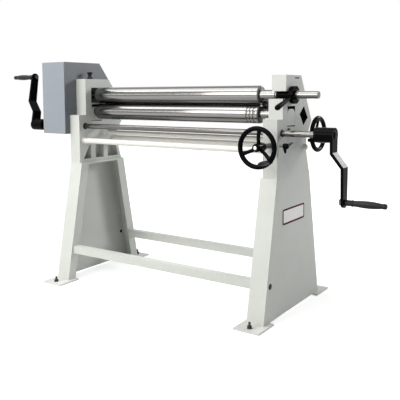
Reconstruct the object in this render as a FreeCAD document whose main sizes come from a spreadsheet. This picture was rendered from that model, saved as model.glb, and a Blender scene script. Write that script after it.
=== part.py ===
import FreeCAD, Part
import Sketcher
import math
import os
import re

# A hand-driven slip roll on a free-standing frame, in millimetres.
# +X runs along the rolls to the right, +Y to the back, +Z up. The origin is on the floor, in the
# middle of the stand. Front is where the operator stands, at -Y.

os.makedirs("parts", exist_ok=True)
doc = FreeCAD.newDocument("SlipRoll")
sheet = doc.addObject("Spreadsheet::Sheet", "Sizes")

# Driving dimensions, one spreadsheet row each.
SIZES = {
    # stand
    "stand_width": 86, "stand_height": 640, "stand_base_half": 297,
    "stand_top_half": 175, "stand_sheet": 5, "return_flange": 55,
    "foot_thickness": 8, "foot_length": 140, "foot_width": 130, "foot_overhang": 83,
    "level_bolt_radius": 6, "level_bolt_inset": 35, "level_bolt_height": 36,
    "level_nut_width": 20, "level_nut_height": 12,
    "stretcher_size": 40, "stretcher_wall": 3, "stretcher_inset": 62, "stretcher_height": 172,
    "stretcher_plate": 6, "stretcher_plate_height": 58, "access_hole_radius": 11,
    "frame_bolt_radius": 6, "frame_bolt_head": 8, "frame_bolt_across": 18,
    # housings
    "housing_width": 72, "roll_end_room": 106, "base_front": 175, "base_rear": 172, "step_height": 267,
    "upper_front": 121, "mouth_front": 88, "housing_height": 469, "crown_rear": 72,
    "nose_rear": 196, "nose_height": 251, "waist_rear": 137, "waist_high": 165, "waist_low": 102,
    "rib_pocket_depth": 40, "pocket_floor": 18, "pocket_top": 95, "pocket_front": 145,
    "pocket_gap": 24, "housing_bolt_spread": 130,
    # rolls
    "work_length": 1050, "roll_shift": 29, "roll_radius": 45, "nip_gap": 1.5,
    "front_axis_back": 33, "top_axis_rise": 377, "roll_edge": 5,
    "groove_width": 6, "groove_depth": 4, "groove_pitch": 18, "groove_inset": 26,
    "top_neck_radius": 24, "top_shaft_radius": 17, "top_shaft_stub": 137, "shoulder_gap": 4,
    "left_neck_radius": 20, "coupling_ball_radius": 28, "coupling_pin_radius": 5,
    "lower_journal_radius": 20, "journal_end_gap": 8,
    # rear roll and its slanted guide
    "rear_axis_back": 64, "rear_axis_drop": 49, "slot_tilt": 37.4, "rear_block_size": 60,
    "rear_travel_up": 8, "rear_travel_down": 70, "slot_end_gap": 1,
    # bearings
    "slide_gap": 0.3, "running_gap": 0.05, "bush_wall": 5, "lower_block_width": 80,
    "lower_block_head": 26, "lower_block_foot": 50, "window_head_gap": 14, "window_foot_gap": 5.5,
    "top_window": 86, "slot_gap": 0.5,
    "journal_bush_wall": 5, "lock_standoff": 4, "lock_lip": 2.5, "journal_ring_reach": 36,
    "lock_collar_radius": 41, "lock_collar_length": 20, "lever_angle": 198, "lever_reach": 178,
    "lever_radius": 9, "lever_ball_radius": 12.5, "lock_seat_radius": 24.3, "finger_gap": 0.3,
    "finger_flat": 16.8,
    # drive
    "shaft_back": 127, "shaft_rise": 204, "shaft_radius": 14, "shaft_bush_wall": 5,
    "pinion_teeth": 13, "wheel_teeth": 66, "pair_teeth": 18, "pair_module": 5,
    "gear_width": 20, "pair_width": 22, "gear_gap": 2, "carrier_thickness": 14,
    "carrier_radius": 64, "carrier_screw_circle": 53, "carrier_screw_spread": 20,
    "carrier_screw_radius": 4, "carrier_screw_depth": 12, "hub_radius": 40, "ball_gap": 0.3,
    "coupling_slot_reach": 13,
    # cranks
    "right_crank_room": 164, "left_crank_room": 262, "crank_hub_radius": 33,
    "crank_hub_length": 75, "crank_plate": 13, "crank_offset": 49, "crank_radius": 287,
    "crank_width": 60, "crank_end_width": 46, "crank_bend_high": 80, "crank_bend_low": 142,
    "left_crank_tilt": 9.5, "crank_spindle_radius": 7, "grip_length": 180, "grip_radius": 16,
    "grip_end_radius": 11.5, "grip_ferrule_length": 35, "grip_waist_radius": 14,
    "crank_nut_height": 12, "crank_nut_across": 24,
    # gear cover
    "cover_depth": 175, "cover_sheet": 2.5, "cover_front": 211, "cover_below_shaft": 43,
    "cover_above_roll": 187, "cover_crown_rear": 71, "cover_rear": 184, "shoulder_above_roll": 48,
    "back_plate": 3, "cover_hole_radius": 20,
    "cap_knob_radius": 16, "cap_knob_height": 41, "cap_knob_back": 47, "cap_knob_waist": 9,
    # lower roll lift
    "eccentric_radius": 37, "eccentric_throw": 10, "lift_gap": 0.5, "lift_shaft_radius": 10,
    "worm_wheel_radius": 31.8, "worm_radius": 15.8, "worm_gap": 0.4, "lift_cavity_front": 52,
    "worm_length": 50, "eccentric_width": 7.5, "worm_wheel_width": 20,
    "lift_cavity_rear": 37, "lift_cavity_room": 22, "cavity_wall": 10, "blind_wall": 4,
    "wheel_shaft_radius": 12.5, "front_wheel_back": 295, "front_wheel_radius": 95,
    "front_wheel_hub_radius": 19, "front_wheel_hub_rear": 238, "front_wheel_hub_nose": 16,
    "rim_radius": 11, "spoke_width": 22, "spoke_thickness": 12, "front_spoke_angle": 81,
    "front_grip_angle": 315, "wheel_grip_length": 82, "wheel_grip_radius": 11,
    "clamp_front": 160, "clamp_screw_radius": 5, "clamp_standoff": 22, "clamp_hub_radius": 11,
    "clamp_hub_length": 26, "clamp_arm_length": 55, "clamp_arm_radius": 5, "clamp_arm_angle": 77,
    "clamp_tail_length": 34,
    "pad_front": 168, "pad_rear": 25, "pad_drop": 50, "pad_flank": 72, "pad_crown": 22,
    "pad_thickness": 6,
    # rear roll adjustment
    "rear_shaft_back": 117, "rear_shaft_rise": 190, "rear_shaft_radius": 11,
    "rack_module": 2, "rack_pinion_teeth": 15, "rack_width": 20, "rack_depth": 16,
    "rack_reach": 187, "rack_first": 58, "rack_last": 166, "rack_gap": 1.5,
    "rear_wheel_room": 70, "rear_wheel_radius": 87,
    "rear_wheel_hub_radius": 20, "rear_wheel_hub_length": 62, "rear_spoke_angle": 180,
    "rear_grip_angle": 290,
    # tie bars and small parts
    "bar_radius": 15, "bar_collar_radius": 19, "bar_collar_length": 8,
    "front_bar_back": 140, "front_bar_rise": 123, "rear_bar_back": 111, "rear_bar_rise": 125,
    "middle_bar_back": 17, "middle_bar_rise": 163, "middle_bar_radius": 13,
    "middle_neck_radius": 6, "middle_neck_length": 48, "middle_boss_radius": 12,
    "middle_boss_length": 16, "bar_stud_radius": 8, "blind_stud_gap": 3, "bar_nut_across": 26,
    "bar_nut_height": 13,
    "plate_length": 235, "plate_height": 76, "plate_thickness": 1.5, "plate_drop": 184,
    "oil_cup_back": 66, "oil_cup_rise": 16, "oil_cup_radius": 5,
    "oil_cup_length": 8, "top_recess_back": 27, "top_recess_length": 50, "top_recess_drop": 13,
    "top_recess_width": 6, "top_recess_depth": 4,
}

# Places worked out from the driving dimensions.
PLACES = {
    "stand_span": "work_length + roll_end_room + 2 * housing_width",
    "outer_face": "stand_span / 2",
    "inner_face": "outer_face - housing_width",
    "housing_middle": "outer_face - housing_width / 2",
    "stand_inner": "outer_face - stand_width",
    "stand_top": "foot_thickness + stand_height",
    "stretcher_back": "stand_base_half - stretcher_inset",
    "foot_reach": "stand_base_half + foot_overhang",
    "level_bolt_back": "foot_reach - level_bolt_inset",
    "top_axis_height": "stand_top + top_axis_rise",
    "rear_axis_height": "top_axis_height - rear_axis_drop",
    "shaft_height": "stand_top + shaft_rise",
    "rear_shaft_height": "stand_top + rear_shaft_rise",
    "front_bar_height": "stand_top + front_bar_rise",
    "middle_bar_height": "stand_top + middle_bar_rise",
    "rear_bar_height": "stand_top + rear_bar_rise",
    "top_shaft_reach": "outer_face + top_shaft_stub",
    "right_crank_start": "outer_face + right_crank_room",
    "left_crank_start": "outer_face + left_crank_room",
    "rear_wheel_place": "outer_face + rear_wheel_room",
    "cover_bottom": "shaft_height - cover_below_shaft",
    "cover_top": "top_axis_height + cover_above_roll",
    "cover_shoulder": "top_axis_height + shoulder_above_roll",
    "plate_centre": "stand_top - plate_drop",
    "oil_cup_height": "shaft_height + oil_cup_rise",
    "top_recess_height": "stand_top + housing_height - top_recess_drop",
    "lower_axis_height": "top_axis_height - 2 * roll_radius - nip_gap",
    "roll_left": "-work_length / 2 - roll_shift",
    "roll_right": "work_length / 2 - roll_shift",
    "cover_inner": "outer_face + back_plate",
    "carrier_outer": "cover_inner + carrier_thickness",
    "pair_start": "carrier_outer + gear_gap",
    "pair_end": "pair_start + pair_width",
    "train_start": "pair_end + 1.5 * gear_gap",
    "train_end": "train_start + gear_width",
    "ball_place": "-(pair_start + pair_end) / 2 - gear_gap",
    "lower_window_top": "lower_axis_height + lower_block_head + window_head_gap",
    "lower_window_floor": "lower_axis_height - lower_block_foot - window_foot_gap",
    "lift_shaft_height": "lower_axis_height - lower_block_foot - lift_gap - eccentric_radius",
    "wheel_shaft_height": "lift_shaft_height - worm_wheel_radius - worm_radius - worm_gap",
    "lift_cavity_floor": "wheel_shaft_height - lift_cavity_room",
    "pad_low": "wheel_shaft_height - pad_drop",
    "pad_high": "pad_low + pad_flank",
    "journal_bush_radius": "top_shaft_radius + journal_bush_wall",
    "slot_up": "rear_travel_up + rear_block_size / 2 + slot_end_gap",
    "slot_down": "rear_travel_down + rear_block_size / 2 + slot_end_gap",
    "pinion_across": "cos(slot_tilt) * (rear_shaft_back - rear_axis_back)"
                     " + sin(slot_tilt) * (rear_shaft_height - rear_axis_height)",
    "pinion_along": "cos(slot_tilt) * (rear_shaft_height - rear_axis_height)"
                    " - sin(slot_tilt) * (rear_shaft_back - rear_axis_back)",
    "rack_pinion_radius": "rack_module * rack_pinion_teeth / 2",
    "rack_pitch_line": "pinion_across + rack_pinion_radius",
    "rack_back": "rack_pitch_line + 1.2 * rack_module + rack_depth",
    "lock_start": "outer_face + lock_standoff",
    "lock_end": "lock_start + lock_collar_length",
    "lock_ring_start": "lock_start + lock_lip + finger_gap",
    "journal_end": "outer_face - journal_end_gap - 2",
    "blind_end": "outer_face - cavity_wall",
    "worm_start": "-front_axis_back - worm_length / 2",
    "shaft_reach_back": "shaft_back - front_axis_back",
    "shaft_reach_down": "top_axis_height - shaft_height",
    "gear_distance": "sqrt(shaft_reach_back ^ 2 + shaft_reach_down ^ 2)",
    "gear_module": "2 * gear_distance / (pinion_teeth + wheel_teeth)",
}
FUNCTIONS = {"sin", "cos", "abs", "sqrt"}

for row, (alias, size) in enumerate(SIZES.items(), 1):
    sheet.set(f"A{row}", alias.replace("_", " "))
    sheet.set(f"B{row}", str(size))
    sheet.setAlias(f"B{row}", alias)
doc.recompute()


def formula(text):
    """Write out a formula in sheet cells, expanding the worked-out places."""
    def word(match):
        name = match.group(0)
        if name in PLACES:
            return "(" + formula(PLACES[name]) + ")"
        return name if name in FUNCTIONS else "Sizes." + name
    return re.sub(r"[A-Za-z_]\w*", word, str(text))


def value(text):
    """Number that a formula gives with the sheet's present sizes."""
    result = sheet.evalExpression(formula(text))
    return float(getattr(result, "Value", result))


def bind(item, **formulas):
    for prop, text in formulas.items():
        item.setExpression(prop.replace("__", "."), formula(text))


def place(item, x="0", y="0", z="0"):
    bind(item, Placement__Base__x=x, Placement__Base__y=y, Placement__Base__z=z)
    return item


TURNS = {
    "X": FreeCAD.Rotation(FreeCAD.Vector(0, 1, 0), 90),
    "Y": FreeCAD.Rotation(FreeCAD.Vector(1, 0, 0), -90),
    "Z": FreeCAD.Rotation(),
}
ORDER = {"X": "xyz", "Y": "yxz", "Z": "zxy"}


def block(name, xs, ys, zs):
    """Box between pairs of formulas along each axis."""
    item = doc.addObject("Part::Box", name)
    bind(item, Length=f"({xs[1]}) - ({xs[0]})", Width=f"({ys[1]}) - ({ys[0]})",
         Height=f"({zs[1]}) - ({zs[0]})")
    return place(item, xs[0], ys[0], zs[0])


def rod(name, axis, span, centre, radius):
    """Cylinder along an axis, from span[0] to span[1], about the point centre."""
    item = doc.addObject("Part::Cylinder", name)
    item.Placement = FreeCAD.Placement(FreeCAD.Vector(), TURNS[axis])
    bind(item, Radius=radius, Height=f"({span[1]}) - ({span[0]})")
    places = dict(zip(ORDER[axis], (span[0],) + tuple(centre)))
    return place(item, **places)


def nut(name, axis, span, centre, across):
    """Hexagon nut or bolt head."""
    item = doc.addObject("Part::Prism", name)
    item.Polygon = 6
    item.Placement = FreeCAD.Placement(FreeCAD.Vector(), TURNS[axis])
    bind(item, Circumradius=f"({across}) / sqrt(3)", Height=f"({span[1]}) - ({span[0]})")
    places = dict(zip(ORDER[axis], (span[0],) + tuple(centre)))
    return place(item, **places)


def tilted(item, along, across="0", x="0"):
    """Set an item on the rear roll's slanted guide: along runs up to the front from the rear roll."""
    item.Placement = FreeCAD.Placement(FreeCAD.Vector(), FreeCAD.Rotation(FreeCAD.Vector(1, 0, 0), 30))
    bind(item, Placement__Rotation__Angle="slot_tilt")
    return place(
        item, x,
        f"rear_axis_back + cos(slot_tilt) * ({across}) - sin(slot_tilt) * ({along})",
        f"rear_axis_height + sin(slot_tilt) * ({across}) + cos(slot_tilt) * ({along})")


def tilted_block(name, xs, width, span):
    item = doc.addObject("Part::Box", name)
    bind(item, Length=f"({xs[1]}) - ({xs[0]})", Width=width, Height=f"({span[1]}) - ({span[0]})")
    return tilted(item, span[0], f"-({width}) / 2", xs[0])


def sketch_on(body, plane, points):
    """Closed outline through points whose two coordinates are formulas."""
    sketch = body.newObject("Sketcher::SketchObject", body.Name + "Sketch")
    support = [item for item in body.Origin.OriginFeatures if item.Role == plane + "_Plane"][0]
    sketch.AttachmentSupport = [(support, "")]
    sketch.MapMode = "FlatFace"
    spots = [(value(a), value(b)) for a, b in points]
    count = len(points)
    for index, start in enumerate(spots):
        end = spots[(index + 1) % count]
        sketch.addGeometry(Part.LineSegment(FreeCAD.Vector(*start, 0), FreeCAD.Vector(*end, 0)))
    for index in range(count):
        sketch.addConstraint(Sketcher.Constraint("Coincident", index, 2, (index + 1) % count, 1))
    for index, spot in enumerate(spots):
        for kind, size, text in zip(("DistanceX", "DistanceY"), spot, points[index]):
            rule = sketch.addConstraint(Sketcher.Constraint(kind, -1, 1, index, 1, size))
            sketch.setExpression(f"Constraints[{rule}]", formula(text))
    return sketch


def prism(name, plane, points, span):
    """Outline in the YZ, XZ or XY plane, padded over a span of the third axis."""
    body = doc.addObject("PartDesign::Body", name)
    pad = body.newObject("PartDesign::Pad", name + "Pad")
    pad.Profile = sketch_on(body, plane, points)
    bind(pad, Length=f"({span[1]}) - ({span[0]})")
    offset = {"YZ": {"x": span[0]}, "XZ": {"y": span[1]}, "XY": {"z": span[0]}}[plane]
    return place(body, **offset)


def turned(name, axis, points, centre):
    """Body of revolution: points are (place along the axis, radius), about centre."""
    body = doc.addObject("PartDesign::Body", name)
    plane = {"X": "XZ", "Y": "YZ", "Z": "XZ"}[axis]
    outline = [(r, a) for a, r in points] if axis == "Z" else points
    turn = body.newObject("PartDesign::Revolution", name + "Turn")
    turn.Profile = sketch_on(body, plane, outline)
    turn.ReferenceAxis = (turn.Profile[0], ["V_Axis" if axis == "Z" else "H_Axis"])
    turn.Angle = 360
    places = dict(zip(ORDER[axis], ("0",) + tuple(centre)))
    return place(body, **places)


def stepped(name, axis, steps, centre):
    """Turned bar of straight steps: (start, end, radius) in order along the axis."""
    points = [(steps[0][0], "0")]
    for start, end, radius in steps:
        points += [(start, radius), (end, radius)]
    return turned(name, axis, points + [(steps[-1][1], "0")], centre)


def fuse(name, items):
    joined = doc.addObject("Part::MultiFuse", name)
    joined.Shapes = items
    return joined


def cut(name, base, tools):
    for index, tool in enumerate(tools):
        result = doc.addObject("Part::Cut", f"{name}Cut{index}")
        result.Base = base
        result.Tool = tool
        base = result
    return base


def group(name, items):
    """Separate identical solids kept in one node."""
    compound = doc.addObject("Part::Compound", name)
    compound.Links = items
    return compound


NODES = []


def node(name, item):
    item.Label = name
    NODES.append(item)
    return item


def mirrored(span, side):
    """Span of X on the right (side 1) or the same span mirrored on the left (side -1)."""
    if side > 0:
        return span
    return (f"-({span[1]})", f"-({span[0]})")


SIDES = (("left", -1), ("right", 1))


# ---------------------------------------------------------------- stand

def stand(side_name, side):
    """Folded sheet leg: outer panel, slanted flanges with inward returns, and a top plate."""
    low, high = "foot_thickness", "stand_top"
    body = prism(side_name + "Leg", "YZ", [
        ("-stand_base_half", low), ("stand_base_half", low),
        ("stand_top_half", high), ("-stand_top_half", high)],
        mirrored(("stand_inner", "outer_face"), side))
    inside = prism(side_name + "Inside", "YZ", [
        ("stand_sheet - stand_base_half", low), ("stand_base_half - stand_sheet", low),
        ("stand_top_half - stand_sheet", "stand_top - stand_sheet"),
        ("stand_sheet - stand_top_half", "stand_top - stand_sheet")],
        mirrored(("stand_inner + stand_sheet", "outer_face - stand_sheet"), side))
    mouth = prism(side_name + "Mouth", "YZ", [
        ("return_flange - stand_base_half", low), ("stand_base_half - return_flange", low),
        ("stand_top_half - return_flange", "stand_top - 2 * stand_sheet"),
        ("return_flange - stand_top_half", "stand_top - 2 * stand_sheet")],
        mirrored(("stand_inner", "stand_inner + stand_sheet"), side))
    holes = []
    for end, back in (("Front", "-stretcher_back"), ("Back", "stretcher_back")):
        spot = (back, "stretcher_height")
        if (side_name, end) != ("right", "Back"):
            holes.append(rod(side_name + "Access" + end, "X",
                             mirrored(("outer_face - stand_sheet", "outer_face"), side), spot,
                             "access_hole_radius"))
        holes.append(rod(side_name + "Flange" + end, "X",
                         mirrored(("stand_inner", "stand_inner + stand_sheet"), side), spot,
                         "frame_bolt_radius + slide_gap"))
    for end, back in (("Front", "-housing_bolt_spread"), ("Back", "housing_bolt_spread")):
        holes.append(rod(side_name + "Top" + end, "Z", ("stand_top - stand_sheet", "stand_top"),
                         (f"{side} * housing_middle", back), "frame_bolt_radius + slide_gap"))
    return cut(side_name + "Stand", body, [inside, mouth] + holes)


for side_name, side in SIDES:
    node("stand_" + side_name, stand(side_name, side))

CORNERS = [(side, end) for side in (-1, 1) for end in (-1, 1)]
FOOT_MIDDLE = "(stand_inner + outer_face) / 2"


def foot_plate(side, end):
    tag = f"Foot{'L' if side < 0 else 'R'}{'F' if end < 0 else 'B'}"
    near, far = "foot_reach - foot_length", "foot_reach"
    ys = (near, far) if end > 0 else (f"-({far})", f"-({near})")
    middle = f"{side} * {FOOT_MIDDLE}"
    plate = block(tag, (f"{middle} - foot_width / 2", f"{middle} + foot_width / 2"), ys,
                  ("0", "foot_thickness"))
    hole = rod(tag + "Hole", "Z", ("0", "foot_thickness"), (middle, f"{end} * level_bolt_back"),
               "level_bolt_radius + slide_gap")
    return cut(tag, plate, [hole])


def level_bolt(side, end):
    tag = f"Level{'L' if side < 0 else 'R'}{'F' if end < 0 else 'B'}"
    return rod(tag, "Z", ("2", "level_bolt_height"),
               (f"{side} * {FOOT_MIDDLE}", f"{end} * level_bolt_back"), "level_bolt_radius")


def level_nut(side, end):
    tag = f"LevelNut{'L' if side < 0 else 'R'}{'F' if end < 0 else 'B'}"
    spot = (f"{side} * {FOOT_MIDDLE}", f"{end} * level_bolt_back")
    span = ("foot_thickness", "foot_thickness + level_nut_height")
    ring = nut(tag, "Z", span, spot, "level_nut_width")
    return cut(tag, ring, [rod(tag + "Bore", "Z", span, spot, "level_bolt_radius + running_gap")])


node("foot_plates", group("FootPlates", [foot_plate(*corner) for corner in CORNERS]))
node("levelling_bolts", group("LevelBolts", [level_bolt(*corner) for corner in CORNERS]))
node("levelling_nuts", group("LevelNuts", [level_nut(*corner) for corner in CORNERS]))


def stretcher(tag, back):
    """Square tube between the stands, with a taller plate welded on each end."""
    ys = (f"{back} - stretcher_size / 2", f"{back} + stretcher_size / 2")
    zs = ("stretcher_height - stretcher_size / 2", "stretcher_height + stretcher_size / 2")
    inner = "stand_inner - stretcher_plate"
    tube = block(tag + "Tube", (f"-({inner})", inner), ys, zs)
    bore = block(tag + "Bore", (f"-({inner})", inner),
                 (ys[0] + " + stretcher_wall", ys[1] + " - stretcher_wall"),
                 (zs[0] + " + stretcher_wall", zs[1] + " - stretcher_wall"))
    plate_zs = ("stretcher_height - stretcher_plate_height / 2",
                "stretcher_height + stretcher_plate_height / 2")
    parts = [cut(tag + "Hollow", tube, [bore])]
    for side_name, side in SIDES:
        span = mirrored((inner, "stand_inner"), side)
        plate = block(tag + side_name, span, ys, plate_zs)
        hole = rod(tag + side_name + "Hole", "X", span, (back, "stretcher_height"),
                   "frame_bolt_radius + running_gap")
        parts.append(cut(tag + side_name, plate, [hole]))
    return fuse(tag, parts)


node("stretcher_front", stretcher("StretcherFront", "-stretcher_back"))
node("stretcher_rear", stretcher("StretcherRear", "stretcher_back"))


def frame_bolt(tag, axis, seat, depth, centre, heading):
    """Hexagon bolt: the head lies behind the seat, the shank runs on along heading (1 or -1)."""
    head = (f"({seat}) - frame_bolt_head", seat) if heading > 0 else (seat, f"({seat}) + frame_bolt_head")
    shank = (seat, f"({seat}) + ({depth})") if heading > 0 else (f"({seat}) - ({depth})", seat)
    return fuse(tag, [nut(tag + "Head", axis, head, centre, "frame_bolt_across"),
                      rod(tag + "Shank", axis, shank, centre, "frame_bolt_radius")])


stretcher_bolts = []
for side_name, side in SIDES:
    for end, back in (("F", "-stretcher_back"), ("B", "stretcher_back")):
        stretcher_bolts.append(frame_bolt(
            f"StretcherBolt{side_name}{end}", "X", f"{side} * (stand_inner + stand_sheet)",
            "stand_sheet + stretcher_plate + 3", (back, "stretcher_height"), -side))
node("stretcher_bolts", group("StretcherBolts", stretcher_bolts))


# ---------------------------------------------------------------- housings

# screws of the gear carrier, beside the top roll's window
screw_spots = []
for sign in (-1, 1):
    for tilt in (-1, 1):
        screw_spots.append((
            f"-front_axis_back + {sign} * carrier_screw_circle * cos({tilt} * carrier_screw_spread)",
            f"top_axis_height + carrier_screw_circle * sin({tilt} * carrier_screw_spread)"))

def housing(side_name, side):
    """Cast end housing with the roll windows, the slanted rear guide and the gear cavities."""
    upper = [("-upper_front", "stand_top + housing_height")]
    if side > 0:
        mouth = "top_axis_height"
        upper = [("-upper_front", mouth), ("-mouth_front", mouth),
                 ("-mouth_front", "stand_top + housing_height")]
    outline = [("-base_front", "stand_top"), ("-base_front", "stand_top + step_height"),
               ("-upper_front", "stand_top + step_height")] + upper + [
        ("crown_rear", "stand_top + housing_height"), ("nose_rear", "stand_top + nose_height"),
        ("waist_rear", "stand_top + waist_high"), ("waist_rear", "stand_top + waist_low"),
        ("base_rear", "stand_top")]
    full = mirrored(("inner_face", "outer_face"), side)
    body = prism(side_name + "Casting", "YZ", outline, full)
    tools = []
    if side < 0:
        tools.append(block("TopWindow", full,
                           ("-front_axis_back - top_window / 2", "-front_axis_back + top_window / 2"),
                           ("top_axis_height - top_window / 2", "top_axis_height + top_window / 2")))
        for index, spot in enumerate(screw_spots):
            tools.append(rod(f"CarrierTapped{index}", "X",
                             ("-outer_face", "carrier_screw_depth - outer_face"), spot,
                             "carrier_screw_radius + running_gap"))
    else:
        tools.append(block("Slot", full, ("-upper_front", "-front_axis_back"),
                           ("top_axis_height - top_shaft_radius - slot_gap",
                            "top_axis_height + top_shaft_radius + slot_gap")))
        tools.append(rod("SlotEnd", "X", full, ("-front_axis_back", "top_axis_height"),
                         "top_shaft_radius + slot_gap"))
        tools.append(rod("LockSeat", "X", full, ("-front_axis_back", "top_axis_height"),
                         "lock_seat_radius"))
        tools.append(block("TopRecess", ("outer_face - top_recess_depth", "outer_face"),
                           ("top_recess_back - top_recess_length / 2",
                            "top_recess_back + top_recess_length / 2"),
                           ("top_recess_height - top_recess_width / 2",
                            "top_recess_height + top_recess_width / 2")))
        tools.append(rod("ClampHole", "X", ("housing_middle", "outer_face"),
                         ("-clamp_front", "wheel_shaft_height"), "clamp_screw_radius + running_gap"))
    tools.append(block(side_name + "LowerWindow", full,
                       ("-front_axis_back - lower_block_width / 2 - slide_gap",
                        "-front_axis_back + lower_block_width / 2 + slide_gap"),
                       ("lower_window_floor", "lower_window_top")))
    tools.append(tilted_block(side_name + "Guide", full, "rear_block_size + 2 * slide_gap",
                              ("-slot_down", "slot_up")))
    # gear cavities, open towards -X on both castings
    cavity = ("inner_face", "outer_face - cavity_wall")
    if side < 0:
        cavity = ("-outer_face", "-inner_face - cavity_wall")
    tools.append(block(side_name + "LiftCavity", cavity,
                       ("-front_axis_back - lift_cavity_front", "lift_cavity_rear - front_axis_back"),
                       ("lift_cavity_floor", "lower_window_floor")))
    middle = f"{side} * housing_middle"
    tools.append(rod(side_name + "PinionCavity", "X", cavity, ("rear_shaft_back", "rear_shaft_height"),
                     "rack_pinion_radius + rack_module + rack_gap"))
    rack_hole = doc.addObject("Part::Box", side_name + "RackHole")
    bind(rack_hole, Length="rack_width + 2 * rack_gap", Height="rack_reach + 80 - slot_down",
         Width="rack_back - rack_pitch_line + rack_module + 2 * rack_gap")
    tools.append(tilted(rack_hole, "-rack_reach - 80", "rack_pitch_line - rack_module - rack_gap",
                        f"{middle} - rack_width / 2 - rack_gap"))
    # (back, height, radius, span): the right housing keeps a blind face where no shaft shows
    blind = full if side < 0 else ("inner_face", "blind_end")
    bores = [
        ("-shaft_back", "shaft_height", "shaft_radius + shaft_bush_wall", full),
        ("rear_shaft_back", "rear_shaft_height", "rear_shaft_radius + running_gap", full),
        ("-front_axis_back", "lift_shaft_height", "lift_shaft_radius + running_gap",
         full if side < 0 else ("blind_end", "outer_face - blind_wall")),
        ("-front_bar_back", "front_bar_height", "bar_stud_radius + running_gap", blind),
        ("middle_bar_back", "middle_bar_height", "bar_stud_radius + running_gap",
         mirrored(("inner_face", "blind_end"), side)),
        ("rear_bar_back", "rear_bar_height", "bar_stud_radius + running_gap", full)]
    for index, (back, height, radius, span) in enumerate(bores):
        tools.append(rod(f"{side_name}Bore{index}", "X", span, (back, height), radius))
    if side > 0:
        tools.append(rod("WheelShaftBore", "Y", ("-base_front", "-front_axis_back"),
                         ("housing_middle", "wheel_shaft_height"), "wheel_shaft_radius + running_gap"))
    # lightening pockets between the ribs at the foot, on the inner face
    pocket_xs = mirrored(("inner_face", "inner_face + rib_pocket_depth"), side)
    low, high = "stand_top + pocket_floor", "stand_top + pocket_top"
    tools.append(prism(side_name + "PocketFront", "YZ", [
        ("-pocket_front", low), ("-pocket_front / 2 - pocket_gap / 2", low),
        ("-pocket_front / 2 - pocket_gap / 2", high), ("-pocket_front * 0.68", high)], pocket_xs))
    tools.append(block(side_name + "PocketMiddle", pocket_xs,
                       ("-pocket_front / 2 + pocket_gap", "pocket_gap * 0.8"), (low, high)))
    tools.append(prism(side_name + "PocketRear", "YZ", [
        ("pocket_gap * 2.2", low), ("pocket_front", low), ("pocket_front * 0.84", high),
        ("pocket_gap * 2.2", high)], pocket_xs))
    for end, back in (("F", "-housing_bolt_spread"), ("B", "housing_bolt_spread")):
        tools.append(rod(side_name + "Tapped" + end, "Z", ("stand_top", "stand_top + 14"),
                         (middle, back), "frame_bolt_radius + running_gap"))
    return cut(side_name + "Housing", body, tools)


for side_name, side in SIDES:
    node("housing_" + side_name, housing(side_name, side))

housing_bolts = []
for side_name, side in SIDES:
    for end, back in (("F", "-housing_bolt_spread"), ("B", "housing_bolt_spread")):
        housing_bolts.append(frame_bolt(
            f"HousingBolt{side_name}{end}", "Z", "stand_top - stand_sheet", "stand_sheet + 12",
            (f"{side} * housing_middle", back), 1))
node("housing_bolts", group("HousingBolts", housing_bolts))


LONG_STUD = "outer_face + bar_nut_height + 4"
SHORT_STUD = "blind_end - blind_stud_gap"


def tie_bar(tag, back, height, right_end):
    """Round bar between the housings with a collar and a threaded stud at each end."""
    return stepped(tag, "X", [
        (f"-({LONG_STUD})", "-inner_face", "bar_stud_radius"),
        ("-inner_face", "bar_collar_length - inner_face", "bar_collar_radius"),
        ("bar_collar_length - inner_face", "inner_face - bar_collar_length", "bar_radius"),
        ("inner_face - bar_collar_length", "inner_face", "bar_collar_radius"),
        ("inner_face", right_end, "bar_stud_radius")], (back, height))


node("tie_bar_front", tie_bar("TieBarFront", "-front_bar_back", "front_bar_height", SHORT_STUD))
node("tie_bar_rear", tie_bar("TieBarRear", "rear_bar_back", "rear_bar_height", LONG_STUD))
boss_end = "inner_face - middle_boss_length"
neck_end = "inner_face - middle_neck_length"
node("tie_bar_middle", stepped("TieBarMiddle", "X", [
    (f"-({SHORT_STUD})", "-inner_face", "bar_stud_radius"),
    ("-inner_face", f"-({boss_end})", "middle_boss_radius"),
    (f"-({boss_end})", f"-({neck_end})", "middle_neck_radius"),
    (f"-({neck_end})", neck_end, "middle_bar_radius"),
    (neck_end, boss_end, "middle_neck_radius"),
    (boss_end, "inner_face", "middle_boss_radius"),
    ("inner_face", SHORT_STUD, "bar_stud_radius")], ("middle_bar_back", "middle_bar_height")))


def bar_nut(tag, side, back, height):
    span = mirrored(("outer_face", "outer_face + bar_nut_height"), side)
    ring = nut(tag, "X", span, (back, height), "bar_nut_across")
    return cut(tag, ring, [rod(tag + "Bore", "X", span, (back, height), "bar_stud_radius + running_gap")])


node("tie_bar_nuts", group("BarNuts", [
    bar_nut("FrontBarNut", -1, "-front_bar_back", "front_bar_height"),
    bar_nut("RearBarNutLeft", -1, "rear_bar_back", "rear_bar_height"),
    bar_nut("RearBarNutRight", 1, "rear_bar_back", "rear_bar_height")]))


def swung(tag, item, turn, x="0", y="0", z="0"):
    """Carry a piece made about its own axis to its place on the machine."""
    result = group(tag, [item])
    result.Placement = FreeCAD.Placement(FreeCAD.Vector(), turn)
    return place(result, x, y, z)


def about(axis, angle):
    vector = {"X": FreeCAD.Vector(1, 0, 0), "Y": FreeCAD.Vector(0, 1, 0), "Z": FreeCAD.Vector(0, 0, 1)}
    return FreeCAD.Rotation(vector[axis], angle)


def ball(name, centre, radius):
    item = doc.addObject("Part::Sphere", name)
    bind(item, Radius=radius)
    return place(item, *centre)


def common(name, items):
    result = doc.addObject("Part::MultiCommon", name)
    result.Shapes = items
    return result


# ---------------------------------------------------------------- fixed fittings

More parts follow.
